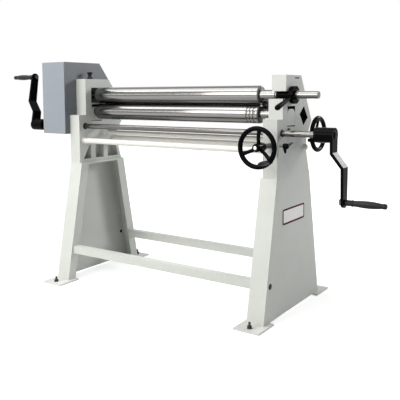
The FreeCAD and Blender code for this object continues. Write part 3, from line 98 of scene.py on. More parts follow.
# Sprayed enamel: fine orange peel over the low waves of the metal beneath, and slight mottling.
sprayed, spray_in, spray_out = effect("sprayed skin", [("Peel", 1.0), ("Waves", 1.0)], ["Height", "Mottle"])
spray_coords = add(sprayed, "ShaderNodeTexCoord").outputs["Object"]
peel = add(sprayed, "ShaderNodeTexNoise", Vector=spray_coords, Scale=420.0, Detail=2.0)
waves = add(sprayed, "ShaderNodeTexNoise", Vector=spray_coords, Scale=9.0, Detail=3.0)
pits = add(sprayed, "ShaderNodeTexNoise", Vector=spray_coords, Scale=60.0, Detail=4.0)
relief = maths(sprayed, "ADD", maths(sprayed, "MULTIPLY", peel.outputs[0], spray_in.outputs["Peel"]),
               maths(sprayed, "MULTIPLY", waves.outputs[0], spray_in.outputs["Waves"]))
sprayed.links.new(relief, spray_out.inputs["Height"])
waves_share, pits_share = 0.7, 0.3
sprayed.links.new(maths(sprayed, "ADD", maths(sprayed, "MULTIPLY", waves.outputs[0], waves_share),
                        maths(sprayed, "MULTIPLY", pits.outputs[0], pits_share)), spray_out.inputs["Mottle"])

# Settled dust: a thin patchy film on faces that look up.
dusty, dust_in, dust_out = effect("settled dust", [("Amount", 0.3)], ["Mask"])
dust_facing = add(dusty, "ShaderNodeNewGeometry")
dust_normal = add(dusty, "ShaderNodeSeparateXYZ", Vector=dust_facing.outputs["Normal"])
dust_cloud = add(dusty, "ShaderNodeTexNoise",
                 Vector=add(dusty, "ShaderNodeTexCoord").outputs["Object"], Scale=14.0, Detail=6.0)
level = maths(dusty, "MULTIPLY", maths(dusty, "MAXIMUM", dust_normal.outputs["Z"], 0.0),
              dust_cloud.outputs[0])
dusty.links.new(maths(dusty, "MULTIPLY", level, dust_in.outputs["Amount"], clamp=True),
                dust_out.inputs["Mask"])


def blend_colour(tree, amount, first, second):
    """Mix of two colours. A colour mix takes its amount at input 0 and its colours at 6 and 7."""
    mixed = add(tree, "ShaderNodeMix", {"data_type": "RGBA"})
    for index, source in ((0, amount), (6, first), (7, second)):
        if isinstance(source, bpy.types.NodeSocket):
            tree.links.new(source, mixed.inputs[index])
        else:
            mixed.inputs[index].default_value = source if index == 0 else (*source, 1.0)
    return mixed.outputs[2]


def placed(tree, group, **links):
    """A shared effect put in a material, with that material's own values."""
    node = add(tree, "ShaderNodeGroup", {"node_tree": group})
    for key, source in links.items():
        if isinstance(source, bpy.types.NodeSocket):
            tree.links.new(source, node.inputs[key])
        else:
            node.inputs[key].default_value = source
    return node


def finish_of(name):
    """New material's node tree and its Principled shader."""
    material = bpy.data.materials.new(name)
    material.use_nodes = True
    return material, material.node_tree, material.node_tree.nodes["Principled BSDF"]


def enamel(name, colour, shine=0.38, peel=1.0, waves=1.0, wear=0.25, bump=0.00012, dust=0.25):
    """Sprayed paint: base colour mottled by a few percent, dusty on top and rubbed dark at edges."""
    material, tree, shader = finish_of(name)
    coat = placed(tree, sprayed, Peel=peel, Waves=waves)
    worn = placed(tree, edge_wear, Width=0.0015, Amount=wear)
    film = placed(tree, dusty, Amount=dust)
    deep = tuple(value * 0.90 for value in colour)
    light = tuple(min(value * 1.05, 1.0) for value in colour)
    rubbed_dark = tuple(value * 0.55 for value in colour)
    dust_tan = (0.55, 0.53, 0.49)
    dull_patches = 0.12
    tone = blend_colour(tree, coat.outputs["Mottle"], deep, light)
    tone = blend_colour(tree, film.outputs["Mask"], tone, dust_tan)
    tone = blend_colour(tree, worn.outputs["Mask"], tone, rubbed_dark)
    tree.links.new(tone, shader.inputs["Base Color"])
    roughness = maths(tree, "ADD", shine, maths(tree, "MULTIPLY", coat.outputs["Mottle"], dull_patches))
    tree.links.new(roughness, shader.inputs["Roughness"])
    raised = add(tree, "ShaderNodeBump", Strength=0.35, Distance=bump, Height=coat.outputs["Height"])
    tree.links.new(raised.outputs[0], shader.inputs["Normal"])
    shader.inputs["Coat Weight"].default_value = 0.15
    shader.inputs["Coat Roughness"].default_value = 0.25
    return material


def softened(node, body, material, width, segments=2):
    """Copy of a node's mesh, merged, with its flat faces whole again and its edges rounded."""
    weld, flat, crease = 2e-6, math.radians(0.8), math.radians(32)
    shape = bmesh.new()
    shape.from_mesh(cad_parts[node].data)
    bmesh.ops.remove_doubles(shape, verts=shape.verts, dist=weld)
    bmesh.ops.dissolve_limit(shape, angle_limit=flat, verts=shape.verts, edges=shape.edges)
    mesh = bpy.data.meshes.new(node + "_skin")
    shape.to_mesh(mesh)
    shape.free()
    mesh.materials.append(material)
    mesh.shade_smooth()
    piece = bpy.data.objects.new(node + "_skin", mesh)
    bpy.context.scene.collection.objects.link(piece)
    rounding = piece.modifiers.new("rounding", "BEVEL")
    rounding.width = width
    rounding.segments = segments
    rounding.limit_method = "ANGLE"
    rounding.angle_limit = crease
    flats = piece.modifiers.new("flats", "WEIGHTED_NORMAL")
    flats.keep_sharp = True
    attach(piece, body)
    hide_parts(node)
    return piece


stand_enamel = enamel("stand_enamel", sheet_grey, shine=0.40, peel=1.0, waves=2.2)
for side in ("left", "right"):
    stand = softened("stand_" + side, "frame", stand_enamel, width=0.004, segments=3)
for place in ("front", "rear"):
    stretcher = softened("stretcher_" + place, "frame", stand_enamel, width=0.0022, segments=3)


# --- Floor fittings. Cast foot plates in a pale enamel of their own, held by levelling studs whose
# threads stand up through hexagon nuts. Studs, nuts and the frame's bolts are black steel.
foot_iron = enamel("foot_iron", (0.60, 0.605, 0.585), shine=0.5, peel=1.2, waves=1.5, wear=0.4, dust=0.5)
feet = softened("foot_plates", "frame", foot_iron, width=0.0014)


def steel(name, colour, shine=0.3, streaks=(1.0, 1.0, 1.0), depth=0.00002, stain=0.12, wear=0.0):
    """Bare metal: tool marks run across the axis with the largest streak scale."""
    material, tree, shader = finish_of(name)
    coords = add(tree, "ShaderNodeTexCoord").outputs["Object"]
    turned = add(tree, "ShaderNodeMapping", Vector=coords, Scale=streaks)
    marks = add(tree, "ShaderNodeTexNoise", Vector=turned.outputs[0], Scale=1.0, Detail=4.0)
    film = add(tree, "ShaderNodeTexNoise", Vector=coords, Scale=7.0, Detail=5.0)
    dull = tuple(value * 0.72 for value in colour)
    bright = tuple(min(value * 1.15, 1) for value in colour)
    rubbed_bright = (0.55, 0.55, 0.56)
    bright_marks, smoothest, rough_marks, rough_film = 0.25, shine - 0.03, 0.06, 0.05
    tone = blend_colour(tree, maths(tree, "MULTIPLY", film.outputs[0], stain * 2), colour, dull)
    tone = blend_colour(tree, maths(tree, "MULTIPLY", marks.outputs[0], bright_marks), tone, bright)
    if wear:
        worn = placed(tree, edge_wear, Width=0.0008, Amount=wear)
        tone = blend_colour(tree, worn.outputs["Mask"], tone, rubbed_bright)
    tree.links.new(tone, shader.inputs["Base Color"])
    shader.inputs["Metallic"].default_value = 1.0
    roughness = maths(tree, "ADD", smoothest, maths(tree, "MULTIPLY", marks.outputs[0], rough_marks))
    roughness = maths(tree, "ADD", roughness, maths(tree, "MULTIPLY", film.outputs[0], rough_film))
    tree.links.new(roughness, shader.inputs["Roughness"])
    raised = add(tree, "ShaderNodeBump", Strength=0.3, Distance=depth, Height=marks.outputs[0])
    tree.links.new(raised.outputs[0], shader.inputs["Normal"])
    return material


def skin(name, rings, body, material, closed=False):
    """Surface through rings of points: rings is (count, points, 3). Each ring is joined to the
    next. A closed run joins its last ring to its first, and any other gets flat caps at both ends."""
    crease = math.radians(35)
    rings = np.asarray(rings, dtype=float)
    count, points = rings.shape[:2]
    step = np.arange(points)
    after = (step + 1) % points
    rows = np.arange(count if closed else count - 1)[:, None]
    nexts = (rows + 1) % count
    quads = np.stack([rows * points + step, rows * points + after,
                      nexts * points + after, nexts * points + step], axis=-1).reshape(-1, 4)
    faces = quads.tolist()
    if not closed:
        faces += [step[::-1].tolist(), (step + (count - 1) * points).tolist()]
    mesh = bpy.data.meshes.new(name)
    mesh.from_pydata(rings.reshape(-1, 3), [], faces)
    mesh.materials.append(material)
    mesh.shade_smooth()
    mesh.set_sharp_from_angle(angle=crease)
    piece = bpy.data.objects.new(name, mesh)
    bpy.context.scene.collection.objects.link(piece)
    if body:
        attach(piece, body)
    return piece


def axes_of(along):
    """Unit vectors along an axis, given by letter or as a vector, and two square to it."""
    named = {"x": ((1, 0, 0), (0, 1, 0)), "y": ((0, 1, 0), (0, 0, 1)), "z": ((0, 0, 1), (1, 0, 0))}
    if isinstance(along, str):
        forward, first = (np.array(v, dtype=float) for v in named[along])
    else:
        forward = np.array(along, dtype=float) / np.linalg.norm(along)
        first = np.cross(forward, (0, 0, 1) if abs(forward[2]) < 0.9 else (1, 0, 0))
        first /= np.linalg.norm(first)
    return forward, first, np.cross(forward, first)


def lathe_rings(along, profile, centre, points=72):
    """Circles of radius r at each (place, r) of the profile, along an axis through centre:
    centre + forward * place + r * (cos angle * first + sin angle * second). A profile begins and
    ends within half a millimetre of the axis, where a flat cap closes it."""
    profile = np.asarray(profile, dtype=float)
    forward, first, second = axes_of(along)
    angle = np.linspace(0, 2 * math.pi, points, endpoint=False)[None, :, None]
    return (np.array(centre, dtype=float) + profile[:, 0, None, None] * forward
            + profile[:, 1, None, None] * (np.cos(angle) * first + np.sin(angle) * second))


def joined(name, pieces):
    """Several meshes made one piece."""
    shape = bmesh.new()
    material = pieces[0].data.materials[0]
    for piece in pieces:
        shape.from_mesh(piece.data)
    mesh = bpy.data.meshes.new(name)
    shape.to_mesh(mesh)
    shape.free()
    mesh.materials.append(material)
    for piece in pieces:
        bpy.data.objects.remove(piece)
    result = bpy.data.objects.new(name, mesh)
    bpy.context.scene.collection.objects.link(result)
    return result


def thread_rings(along, start, end, radius, pitch, centre, points=36):
    """Helical screw: the radius falls by half the pitch as a triangle wave of
    place minus turn times pitch."""
    forward, first, second = axes_of(along)
    places = np.arange(start, end + 1e-9, pitch / 8)
    angle = np.linspace(0, 2 * math.pi, points, endpoint=False)
    phase = (places[:, None] / pitch - angle / (2 * math.pi)) % 1.0
    depth = pitch * 0.5
    radii = radius - depth * (1 - np.abs(2 * phase - 1))
    lead = np.minimum((places - start) / pitch, (end - places) / pitch)[:, None]
    radii = np.minimum(radii, radius - depth * (1 - np.clip(lead, 0, 1)))[:, :, None]
    angle = angle[None, :, None]
    return (np.array(centre, dtype=float) + places[:, None, None] * forward
            + radii * (np.cos(angle) * first + np.sin(angle) * second))


black_steel = steel("black_steel", (0.045, 0.045, 0.048), shine=0.42, streaks=(300, 300, 300), wear=0.4)
stud_radius, stud_pitch = 0.006, 0.00175
low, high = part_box("levelling_bolts")
studs = []
for x in (low[0] + stud_radius, high[0] - stud_radius):
    for y in (low[1] + stud_radius, high[1] - stud_radius):
        studs.append(skin("stud", thread_rings("z", low[2], high[2], stud_radius, stud_pitch, (x, y, 0)),
                          None, black_steel))
studs = joined("levelling_studs", studs)
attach(studs, "frame")
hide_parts("levelling_bolts")
for node in ("levelling_nuts", "stretcher_bolts", "housing_bolts"):
    softened(node, "frame", black_steel, width=0.0009)


# --- Hole plugs. Black moulded caps pressed into the spanner holes of the stands, level with the
# stretchers: a thin brim on the sheet and a shallow dome.
def matt_black(name, colour, shine):
    """Moulded plastic: fine even grain, rubbed a little smoother and lighter in patches."""
    grain, smoothed = 0.00004, 0.16
    material, tree, shader = finish_of(name)
    coords = add(tree, "ShaderNodeTexCoord").outputs["Object"]
    fine = add(tree, "ShaderNodeTexNoise", Vector=coords, Scale=1500.0, Detail=2.0)
    rubbed = add(tree, "ShaderNodeTexNoise", Vector=coords, Scale=24.0, Detail=3.0)
    film = placed(tree, dusty, Amount=0.10)
    deep, light = tuple(v * 0.8 for v in colour), tuple(v * 1.3 for v in colour)
    dust_grey = (0.30, 0.29, 0.27)
    tone = blend_colour(tree, rubbed.outputs[0], deep, light)
    tone = blend_colour(tree, film.outputs["Mask"], tone, dust_grey)
    tree.links.new(tone, shader.inputs["Base Color"])
    smoother = maths(tree, "MULTIPLY", rubbed.outputs[0], smoothed)
    tree.links.new(maths(tree, "SUBTRACT", shine + smoothed / 2, smoother), shader.inputs["Roughness"])
    raised = add(tree, "ShaderNodeBump", Strength=0.3, Distance=grain, Height=fine.outputs[0])
    tree.links.new(raised.outputs[0], shader.inputs["Normal"])
    shader.inputs["Specular IOR Level"].default_value = 0.12
    return material


plug_black = matt_black("plug_black", (0.012, 0.012, 0.013), shine=0.45)
sheet_face, hole_back, hole_height = 0.650, 0.235, 0.172
plug_profile = [(-0.004, 0.0005), (-0.004, 0.0100), (0.0, 0.0106), (0.0, 0.0135), (0.0007, 0.0140),
                (0.0014, 0.0132), (0.0022, 0.0095), (0.0027, 0.0050), (0.0028, 0.0005)]
for name, side, back in (("right_front", 1, -hole_back), ("left_front", -1, -hole_back),
                         ("left_rear", -1, hole_back)):
    plug = skin("hole_plug_" + name, lathe_rings((side, 0, 0), plug_profile,
                                                (side * sheet_face, back, hole_height), points=48),
                "frame", plug_black)


# --- Housings. Two grey-iron castings with rounded arrises and a slightly uneven cast skin under
# the paint, machined slots for the bearing blocks, and lightening pockets at the foot.
iron_grey = (0.534, 0.554, 0.521)
housing_enamel = enamel("housing_enamel", iron_grey, shine=0.36, peel=1.0, waves=3.0, bump=0.0002)
# Bare machined iron for the slot walls. Its near-black colour is partly the iron and partly painted shade in
# the slots.
bare_iron_painted_shade = steel("bare_iron_painted_shade", (0.016, 0.016, 0.017), shine=0.55, streaks=(220, 40, 220), stain=0.4)


def bare_ways_painted_shade(casting, slots):
    """Give the machined walls of the slots bare iron, its colour taken nearly to black as painted shade:
    every face that does not look along X and whose middle is in a slot. A slot is given by its middle's
    y and z, its tilt, its half width, and how far it runs down and up from its middle along the tilt."""
    near, sideways = 0.001, 0.5
    mesh = casting.data
    mesh.materials.append(bare_iron_painted_shade)
    count = len(mesh.polygons)
    centres, normals = np.empty(count * 3), np.empty(count * 3)
    mesh.polygons.foreach_get("center", centres)
    mesh.polygons.foreach_get("normal", normals)
    y, z = centres.reshape(-1, 3)[:, 1], centres.reshape(-1, 3)[:, 2]
    bare_and_shaded = np.zeros(count, dtype=bool)
    for middle_y, middle_z, tilt, half_wide, low, high in slots:
        across = math.cos(tilt) * (y - middle_y) + math.sin(tilt) * (z - middle_z)
        up = math.cos(tilt) * (z - middle_z) - math.sin(tilt) * (y - middle_y)
        bare_and_shaded |= (abs(across) < half_wide + near) & (up > low - near) & (up < high + near)
    bare_and_shaded &= abs(normals.reshape(-1, 3)[:, 0]) < sideways
    mesh.polygons.foreach_set("material_index", bare_and_shaded.astype(np.int32))


top_axis = (0, -0.033, 1.025)
lower_axis = (0, -0.033, 0.9335)
rear_axis = (0, 0.064, 0.976)
rear_slot_tilt = math.radians(37.4)
lower_window = (lower_axis[1], lower_axis[2], 0.0, 0.0406, -0.050, 0.0405)
rear_slot = (rear_axis[1], rear_axis[2], rear_slot_tilt, 0.0306, -0.102, 0.040)
for side in ("left", "right"):
    housing = softened("housing_" + side, "frame", housing_enamel, width=0.0022, segments=3)
    # The walls of the lower window and the rear slot get the bare iron, darkened as painted shade.
    bare_ways_painted_shade(housing, (lower_window, rear_slot))
softened("adjuster_cover", "frame", housing_enamel, width=0.0015)

# The shallow oblong recess near the top of the right housing's outer face has a black floor.
recess_black = matt_black("recess_black", (0.010, 0.010, 0.011), shine=0.5)
recess_y, recess_z = (0.0025, 0.0515), (1.1013, 1.1067)
inlay_back, inlay_front = 0.6463, 0.6478
inlay = skin("recess_inlay", [[(x, recess_y[0], recess_z[0]), (x, recess_y[1], recess_z[0]),
                               (x, recess_y[1], recess_z[1]), (x, recess_y[0], recess_z[1])]
                              for x in (inlay_back, inlay_front)], "frame", recess_black)


# --- Bearing blocks. The lower pair are painted blocks with arched heads, lifted in square windows;
# the rear pair are square and slide in slanted slots. Bronze bushes are pressed in.
def arched(piece, centre, top, half_width, radius):
    """Round the two long upper arrises of a block's mesh by a quarter circle of this radius."""
    near, shortest = 1e-4, 0.001
    shape = bmesh.new()
    shape.from_mesh(piece.data)
    arrises = []
    for side in shape.edges:
        ends = np.array([corner.co for corner in side.verts])
        at_top = np.all(abs(ends[:, 2] - top) < near)
        at_side = np.all(abs(abs(ends[:, 1] - centre) - half_width) < near)
        if at_top and at_side and abs(ends[0, 0] - ends[1, 0]) > shortest:
            arrises.append(side)
    bmesh.ops.bevel(shape, geom=arrises, offset=radius, segments=10, profile=0.5, affect="EDGES")
    shape.to_mesh(piece.data)
    shape.free()


block_enamel = enamel("block_enamel", tuple(v * 1.03 for v in iron_grey), shine=0.38, waves=1.0)
for side in ("left", "right"):
    block = softened("lower_bearing_" + side, "lower_bearings", block_enamel, width=0.0008)
    low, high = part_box("lower_bearing_" + side)
    arched(block, centre=(low[1] + high[1]) / 2, top=high[2], half_width=(high[1] - low[1]) / 2,
           radius=0.024)
    softened("rear_bearing_" + side, "rear_bearings", block_enamel, width=0.0008)
bronze = steel("bearing_bronze", (0.30, 0.21, 0.11), shine=0.4, streaks=(500, 20, 20), stain=0.3)


def finished(material, *nodes):
    """CAD nodes kept as they are, in a new finish."""
    for node in nodes:
        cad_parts[node].data.materials.clear()
        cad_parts[node].data.materials.append(material)


finished(bronze, "lower_bushes", "rear_bushes", "gear_carrier", "worm_wheel")
finished(black_steel, "shaft_bushes")


# --- Rolls. Solid steel bars ground all over, with a bright sheen and fine rings around them;
# the lower and rear rolls have three wire grooves near the right-hand end.
roll_steel = steel("roll_steel", (0.180, 0.177, 0.172), shine=0.13, streaks=(900, 3, 3), depth=0.000004,
                   stain=0.06)
turned_steel = steel("turned_steel", (0.120, 0.116, 0.110), shine=0.16, streaks=(900, 4, 4), depth=0.000004)


def rounded_corners(profile, radius=0.0006, steps=3):
    """Profile with each inner corner rounded by a quadratic curve from side to side:
    (1 - t) ^ 2 * start + 2 * t * (1 - t) * corner + t ^ 2 * end."""
    most_of_side, tiny = 0.45, 1e-9
    profile = np.asarray(profile, dtype=float)
    result = [profile[0]]
    for before, corner, after in zip(profile[:-2], profile[1:-1], profile[2:]):
        back, on = before - corner, after - corner
        back_side, on_side = np.linalg.norm(back), np.linalg.norm(on)
        reach = min(radius, back_side * most_of_side, on_side * most_of_side)
        start = corner + back / max(back_side, tiny) * reach
        end = corner + on / max(on_side, tiny) * reach
        for t in np.linspace(0, 1, steps):
            result.append((1 - t) ** 2 * start + 2 * t * (1 - t) * corner + t ** 2 * end)
    result.append(profile[-1])
    return np.array(result)


roll_left, roll_right, roll_radius = -0.554, 0.496, 0.045
groove_places = (0.434, 0.452, 0.470)
groove_half, groove_depth = 0.003, 0.0035
end_chamfer, journal_chamfer = 0.005, 0.0015


def roll_profile(left, left_radius, right_steps, grooves):
    """Half outline of a roll: journal, chamfered body with its grooves, then the right steps."""
    outline = [(left, 0.0004), (left, left_radius - journal_chamfer), (left + journal_chamfer, left_radius),
               (roll_left, left_radius), (roll_left, roll_radius - end_chamfer),
               (roll_left + end_chamfer, roll_radius)]
    turn = np.linspace(0, math.pi, 9)
    for place in grooves:
        outline += list(zip(place - groove_half * np.cos(turn), roll_radius - groove_depth * np.sin(turn)))
    outline += [(roll_right - end_chamfer, roll_radius), (roll_right, roll_radius - end_chamfer)]
    return rounded_corners(outline + right_steps)


top_steps = [(roll_right, 0.024), (0.574, 0.024), (0.574, 0.017), (0.785, 0.017), (0.787, 0.0150),
             (0.787, 0.0005)]
top_profile = roll_profile(left=-0.68, left_radius=0.020, right_steps=top_steps, grooves=())
top_roll = skin("top_roll_bar", lathe_rings("x", top_profile, top_axis, points=96), None, roll_steel)
ball_place, ball_radius, pole = -0.682, 0.0279, 0.02
ball_turn = np.linspace(pole, math.pi - pole, 24)
ball_profile = np.stack([ball_place - ball_radius * np.cos(ball_turn),
                         ball_radius * np.sin(ball_turn)], axis=1)
coupling_ball = skin("coupling_ball", lathe_rings("x", ball_profile, top_axis, points=48), None, roll_steel)
top_roll = joined("top_roll_ground", [top_roll, coupling_ball])
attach(top_roll, "top_roll_set")
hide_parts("top_roll")
plain_end = [(roll_right, 0.020), (0.6385, 0.020), (0.640, 0.0185), (0.640, 0.0004)]
for node, left, axis, body in (("lower_roll", -0.692, lower_axis, "lower_roll_set"),
                               ("rear_roll", -0.640, rear_axis, "rear_roll_set")):
    profile = roll_profile(left, left_radius=0.020, right_steps=plain_end, grooves=groove_places)
    roll = skin(node + "_ground", lathe_rings("x", profile, axis, points=96), body, roll_steel)
    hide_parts(node)


# --- Gears and inner works. Cut steel gears with a film of grease, mostly inside the cover.
gear_steel = steel("gear_steel", (0.20, 0.20, 0.205), shine=0.38, streaks=(40, 400, 400), stain=0.5)
finished(gear_steel, "gear_hub", "bull_gear", "drive_pinion", "lower_roll_gear", "rear_pinions", "rear_racks")
finished(turned_steel, "coupling_pin", "eccentric_shaft", "worm_shaft", "clamp_screw", "oil_cup",
         "crank_nuts", "crank_spindles", "rear_wheel_shaft", "journal_ring")
finished(black_steel, "carrier_screws")


# --- Gear cover. A box folded from 2.5 mm sheet and closed on a flat back plate; grey enamel with
# soft bends and slightly uneven flats.
cover_grey = (0.222, 0.248, 0.276)
cover_enamel = enamel("cover_enamel", cover_grey, shine=0.42, peel=1.1, waves=3.5, bump=0.0003)
softened("gear_cover", "frame", cover_enamel, width=0.0025, segments=3)
plate_enamel = enamel("back_plate_enamel", tuple(v * 0.5 for v in cover_grey), shine=0.45)
softened("cover_back_plate", "frame", plate_enamel, width=0.0008)


# --- Cover knob. A moulded black knob with a waist and a fluted head, screwed into the top of the
# left housing.
knob_black = matt_black("knob_black", (0.010, 0.010, 0.011), shine=0.34)
knob_foot = np.array([-0.614, -0.047, 1.117])
knob_profile = np.array([
    (0.0, 0.0005), (0.0, 0.0140), (0.0012, 0.0153), (0.0085, 0.0153), (0.0120, 0.0125), (0.0160, 0.0098),
    (0.0200, 0.0088), (0.0245, 0.0098), (0.0285, 0.0130), (0.0310, 0.0154), (0.0330, 0.0160),
    (0.0385, 0.0160), (0.0403, 0.0146), (0.0410, 0.0120), (0.0410, 0.0005)])
knob_rings = lathe_rings("z", knob_profile, knob_foot, points=96)
around = np.linspace(0, 2 * math.pi, 96, endpoint=False)
flutes, flutes_begin, flutes_full, flute_share = 8, 0.027, 0.031, 0.07
depth = np.clip((knob_profile[:, 0] - flutes_begin) / (flutes_full - flutes_begin), 0, 1)[:, None]
flute = 1 - depth * flute_share * (0.5 + 0.5 * np.cos(flutes * around))
knob_rings[:, :, :2] = knob_foot[:2] + (knob_rings[:, :, :2] - knob_foot[:2]) * flute[:, :, None]
knob = skin("fluted_knob", knob_rings, "knob", knob_black)
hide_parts("cap_knob")


# --- Tie bars. Round bars between the housings with a shoulder at each end, painted cream together
# with the nuts on their studs.
bar_cream = (0.720, 0.715, 0.670)
bar_enamel = enamel("bar_enamel", bar_cream, shine=0.34, peel=0.7, waves=0.5, wear=0.5)
finished(bar_enamel, "tie_bar_front", "tie_bar_middle", "tie_bar_rear")
softened("tie_bar_nuts", "frame", bar_enamel, width=0.001)


# --- Drive shaft. A bright drawn bar right across the machine, chamfered at both ends.
drive_axis = (0, -0.127, 0.852)
shaft_radius, shaft_chamfer = 0.014, 0.002
low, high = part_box("drive_shaft")
shaft_profile = [(low[0], 0.0005), (low[0], shaft_radius - shaft_chamfer),
                 (low[0] + shaft_chamfer, shaft_radius), (high[0] - shaft_chamfer, shaft_radius),
                 (high[0], shaft_radius - shaft_chamfer), (high[0], 0.0005)]
shaft = skin("drive_shaft_bar", lathe_rings("x", rounded_corners(shaft_profile), drive_axis, points=64),
             "cranks", turned_steel)
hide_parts("drive_shaft")


# --- Cranks. Cast arms with a double bend, filed at the arrises and dipped in gloss black, keyed on
# the shaft under a flat cap. Each carries a moulded handle that turns on a steel spindle.
def gloss_black(name, colour, shine):
    """Gloss enamel over a casting: nearly black, with slow waves and a few dull patches."""
    material, tree, shader = finish_of(name)
    coat = placed(tree, sprayed, Peel=0.6, Waves=1.2)
    worn = placed(tree, edge_wear, Width=0.0012, Amount=0.12)
    film = placed(tree, dusty, Amount=0.05)
    deep, light = tuple(v * 0.7 for v in colour), tuple(v * 1.4 for v in colour)
    rubbed_grey, dust_grey = (0.05, 0.05, 0.052), (0.22, 0.22, 0.21)
    dull_patches = 0.12
    tone = blend_colour(tree, coat.outputs["Mottle"], deep, light)
    tone = blend_colour(tree, worn.outputs["Mask"], tone, rubbed_grey)
    tone = blend_colour(tree, film.outputs["Mask"], tone, dust_grey)
    tree.links.new(tone, shader.inputs["Base Color"])
    roughness = maths(tree, "ADD", shine, maths(tree, "MULTIPLY", coat.outputs["Mottle"], dull_patches))
    tree.links.new(roughness, shader.inputs["Roughness"])
    raised = add(tree, "ShaderNodeBump", Strength=0.3, Distance=0.0001, Height=coat.outputs["Height"])
    tree.links.new(raised.outputs[0], shader.inputs["Normal"])
    shader.inputs["IOR"].default_value = 1.08
    return material


crank_black = gloss_black("crank_black", (0.0022, 0.0022, 0.0026), shine=0.12)
for side in ("left", "right"):
    softened("crank_" + side, "cranks", crank_black, width=0.0022, segments=3)
cap_profile = [(0.0, 0.0005), (0.0, 0.0165), (0.0012, 0.0170), (0.0024, 0.0155), (0.0030, 0.0110),
               (0.0031, 0.0005)]
for name, side, place in (("right", 1, 0.902), ("left", -1, -1.000)):
    cap = skin("shaft_cap_" + name, lathe_rings((side, 0, 0), cap_profile,
                                                (place, drive_axis[1], drive_axis[2]), points=48),
               "cranks", crank_black)

grip_black = matt_black("grip_black", (0.016, 0.016, 0.017), shine=0.38)
grip_profile = np.array([
    (0.3, 0.5), (0.3, 11.6), (1.2, 12.6), (3, 13), (27, 13), (29, 13.4), (30.5, 14.5), (35.5, 14.5),
    (37, 13.6), (39, 13.1), (46, 13.1), (58, 14.0), (72, 15.2), (86, 15.9), (98, 16), (112, 15.8),
    (128, 14.9), (142, 13.4), (153, 12.1), (157, 11.8), (158, 10.6), (160.5, 10.6), (161.5, 11.9),
    (164, 12.1), (172, 12.0), (176, 11.2), (179, 9.2), (180, 6.5), (180, 0.5)]) / 1000
left_tilt = math.radians(9.5)
arm_length = 0.287
for name, side, foot in (
        ("right", 1, (0.951, drive_axis[1], drive_axis[2] - arm_length)),
        ("left", -1, (-1.049, drive_axis[1] + arm_length * math.sin(left_tilt),
                      drive_axis[2] + arm_length * math.cos(left_tilt)))):
    handle = skin("crank_handle_" + name, lathe_rings((side, 0, 0), grip_profile, foot, points=64),
                  name + "_handle", grip_black)
    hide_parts("crank_grip_" + name)


# --- Top roll release. A black collar turns on the right-hand end of the top roll's bearing, with a
# tapered lever that swells towards the hand.
softened("release_collar", "release", crank_black, width=0.0012)
collar_place = (0.664, top_axis[1], top_axis[2])
lever_angle = math.radians(198)
lever_way = (0, math.cos(lever_angle), math.sin(lever_angle))
lever_profile = [(0.030, 0.0005), (0.030, 0.0068), (0.045, 0.0070), (0.062, 0.0078), (0.085, 0.0090),
                 (0.110, 0.0102), (0.135, 0.0113), (0.155, 0.0121), (0.172, 0.0126), (0.180, 0.0122),
                 (0.1855, 0.0102), (0.1890, 0.0068), (0.1903, 0.0030), (0.1905, 0.0004)]
lever = skin("release_handle", lathe_rings(lever_way, lever_profile, collar_place, points=48), "release",
             crank_black)
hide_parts("release_lever")


# --- Lift handwheel. A cast three-spoke wheel in gloss black on the worm's shaft, held by a bright
# screw, with a small turning handle on the rim.
def tube_rings(path, first, second, wide, thick, points=20, square=0.85):
    """Rounded flat section carried along a path: path + wide * c * first + thick * s * second, where
    c and s are the cosine and sine of the turn raised to a power below one, signs kept."""
    turn = np.linspace(0, 2 * math.pi, points, endpoint=False)
    c = np.sign(np.cos(turn)) * abs(np.cos(turn)) ** square
    s = np.sign(np.sin(turn)) * abs(np.sin(turn)) ** square
    return (path[:, None, :] + (wide[:, None] * c)[:, :, None] * first
            + (thick[:, None] * s)[:, :, None] * second)


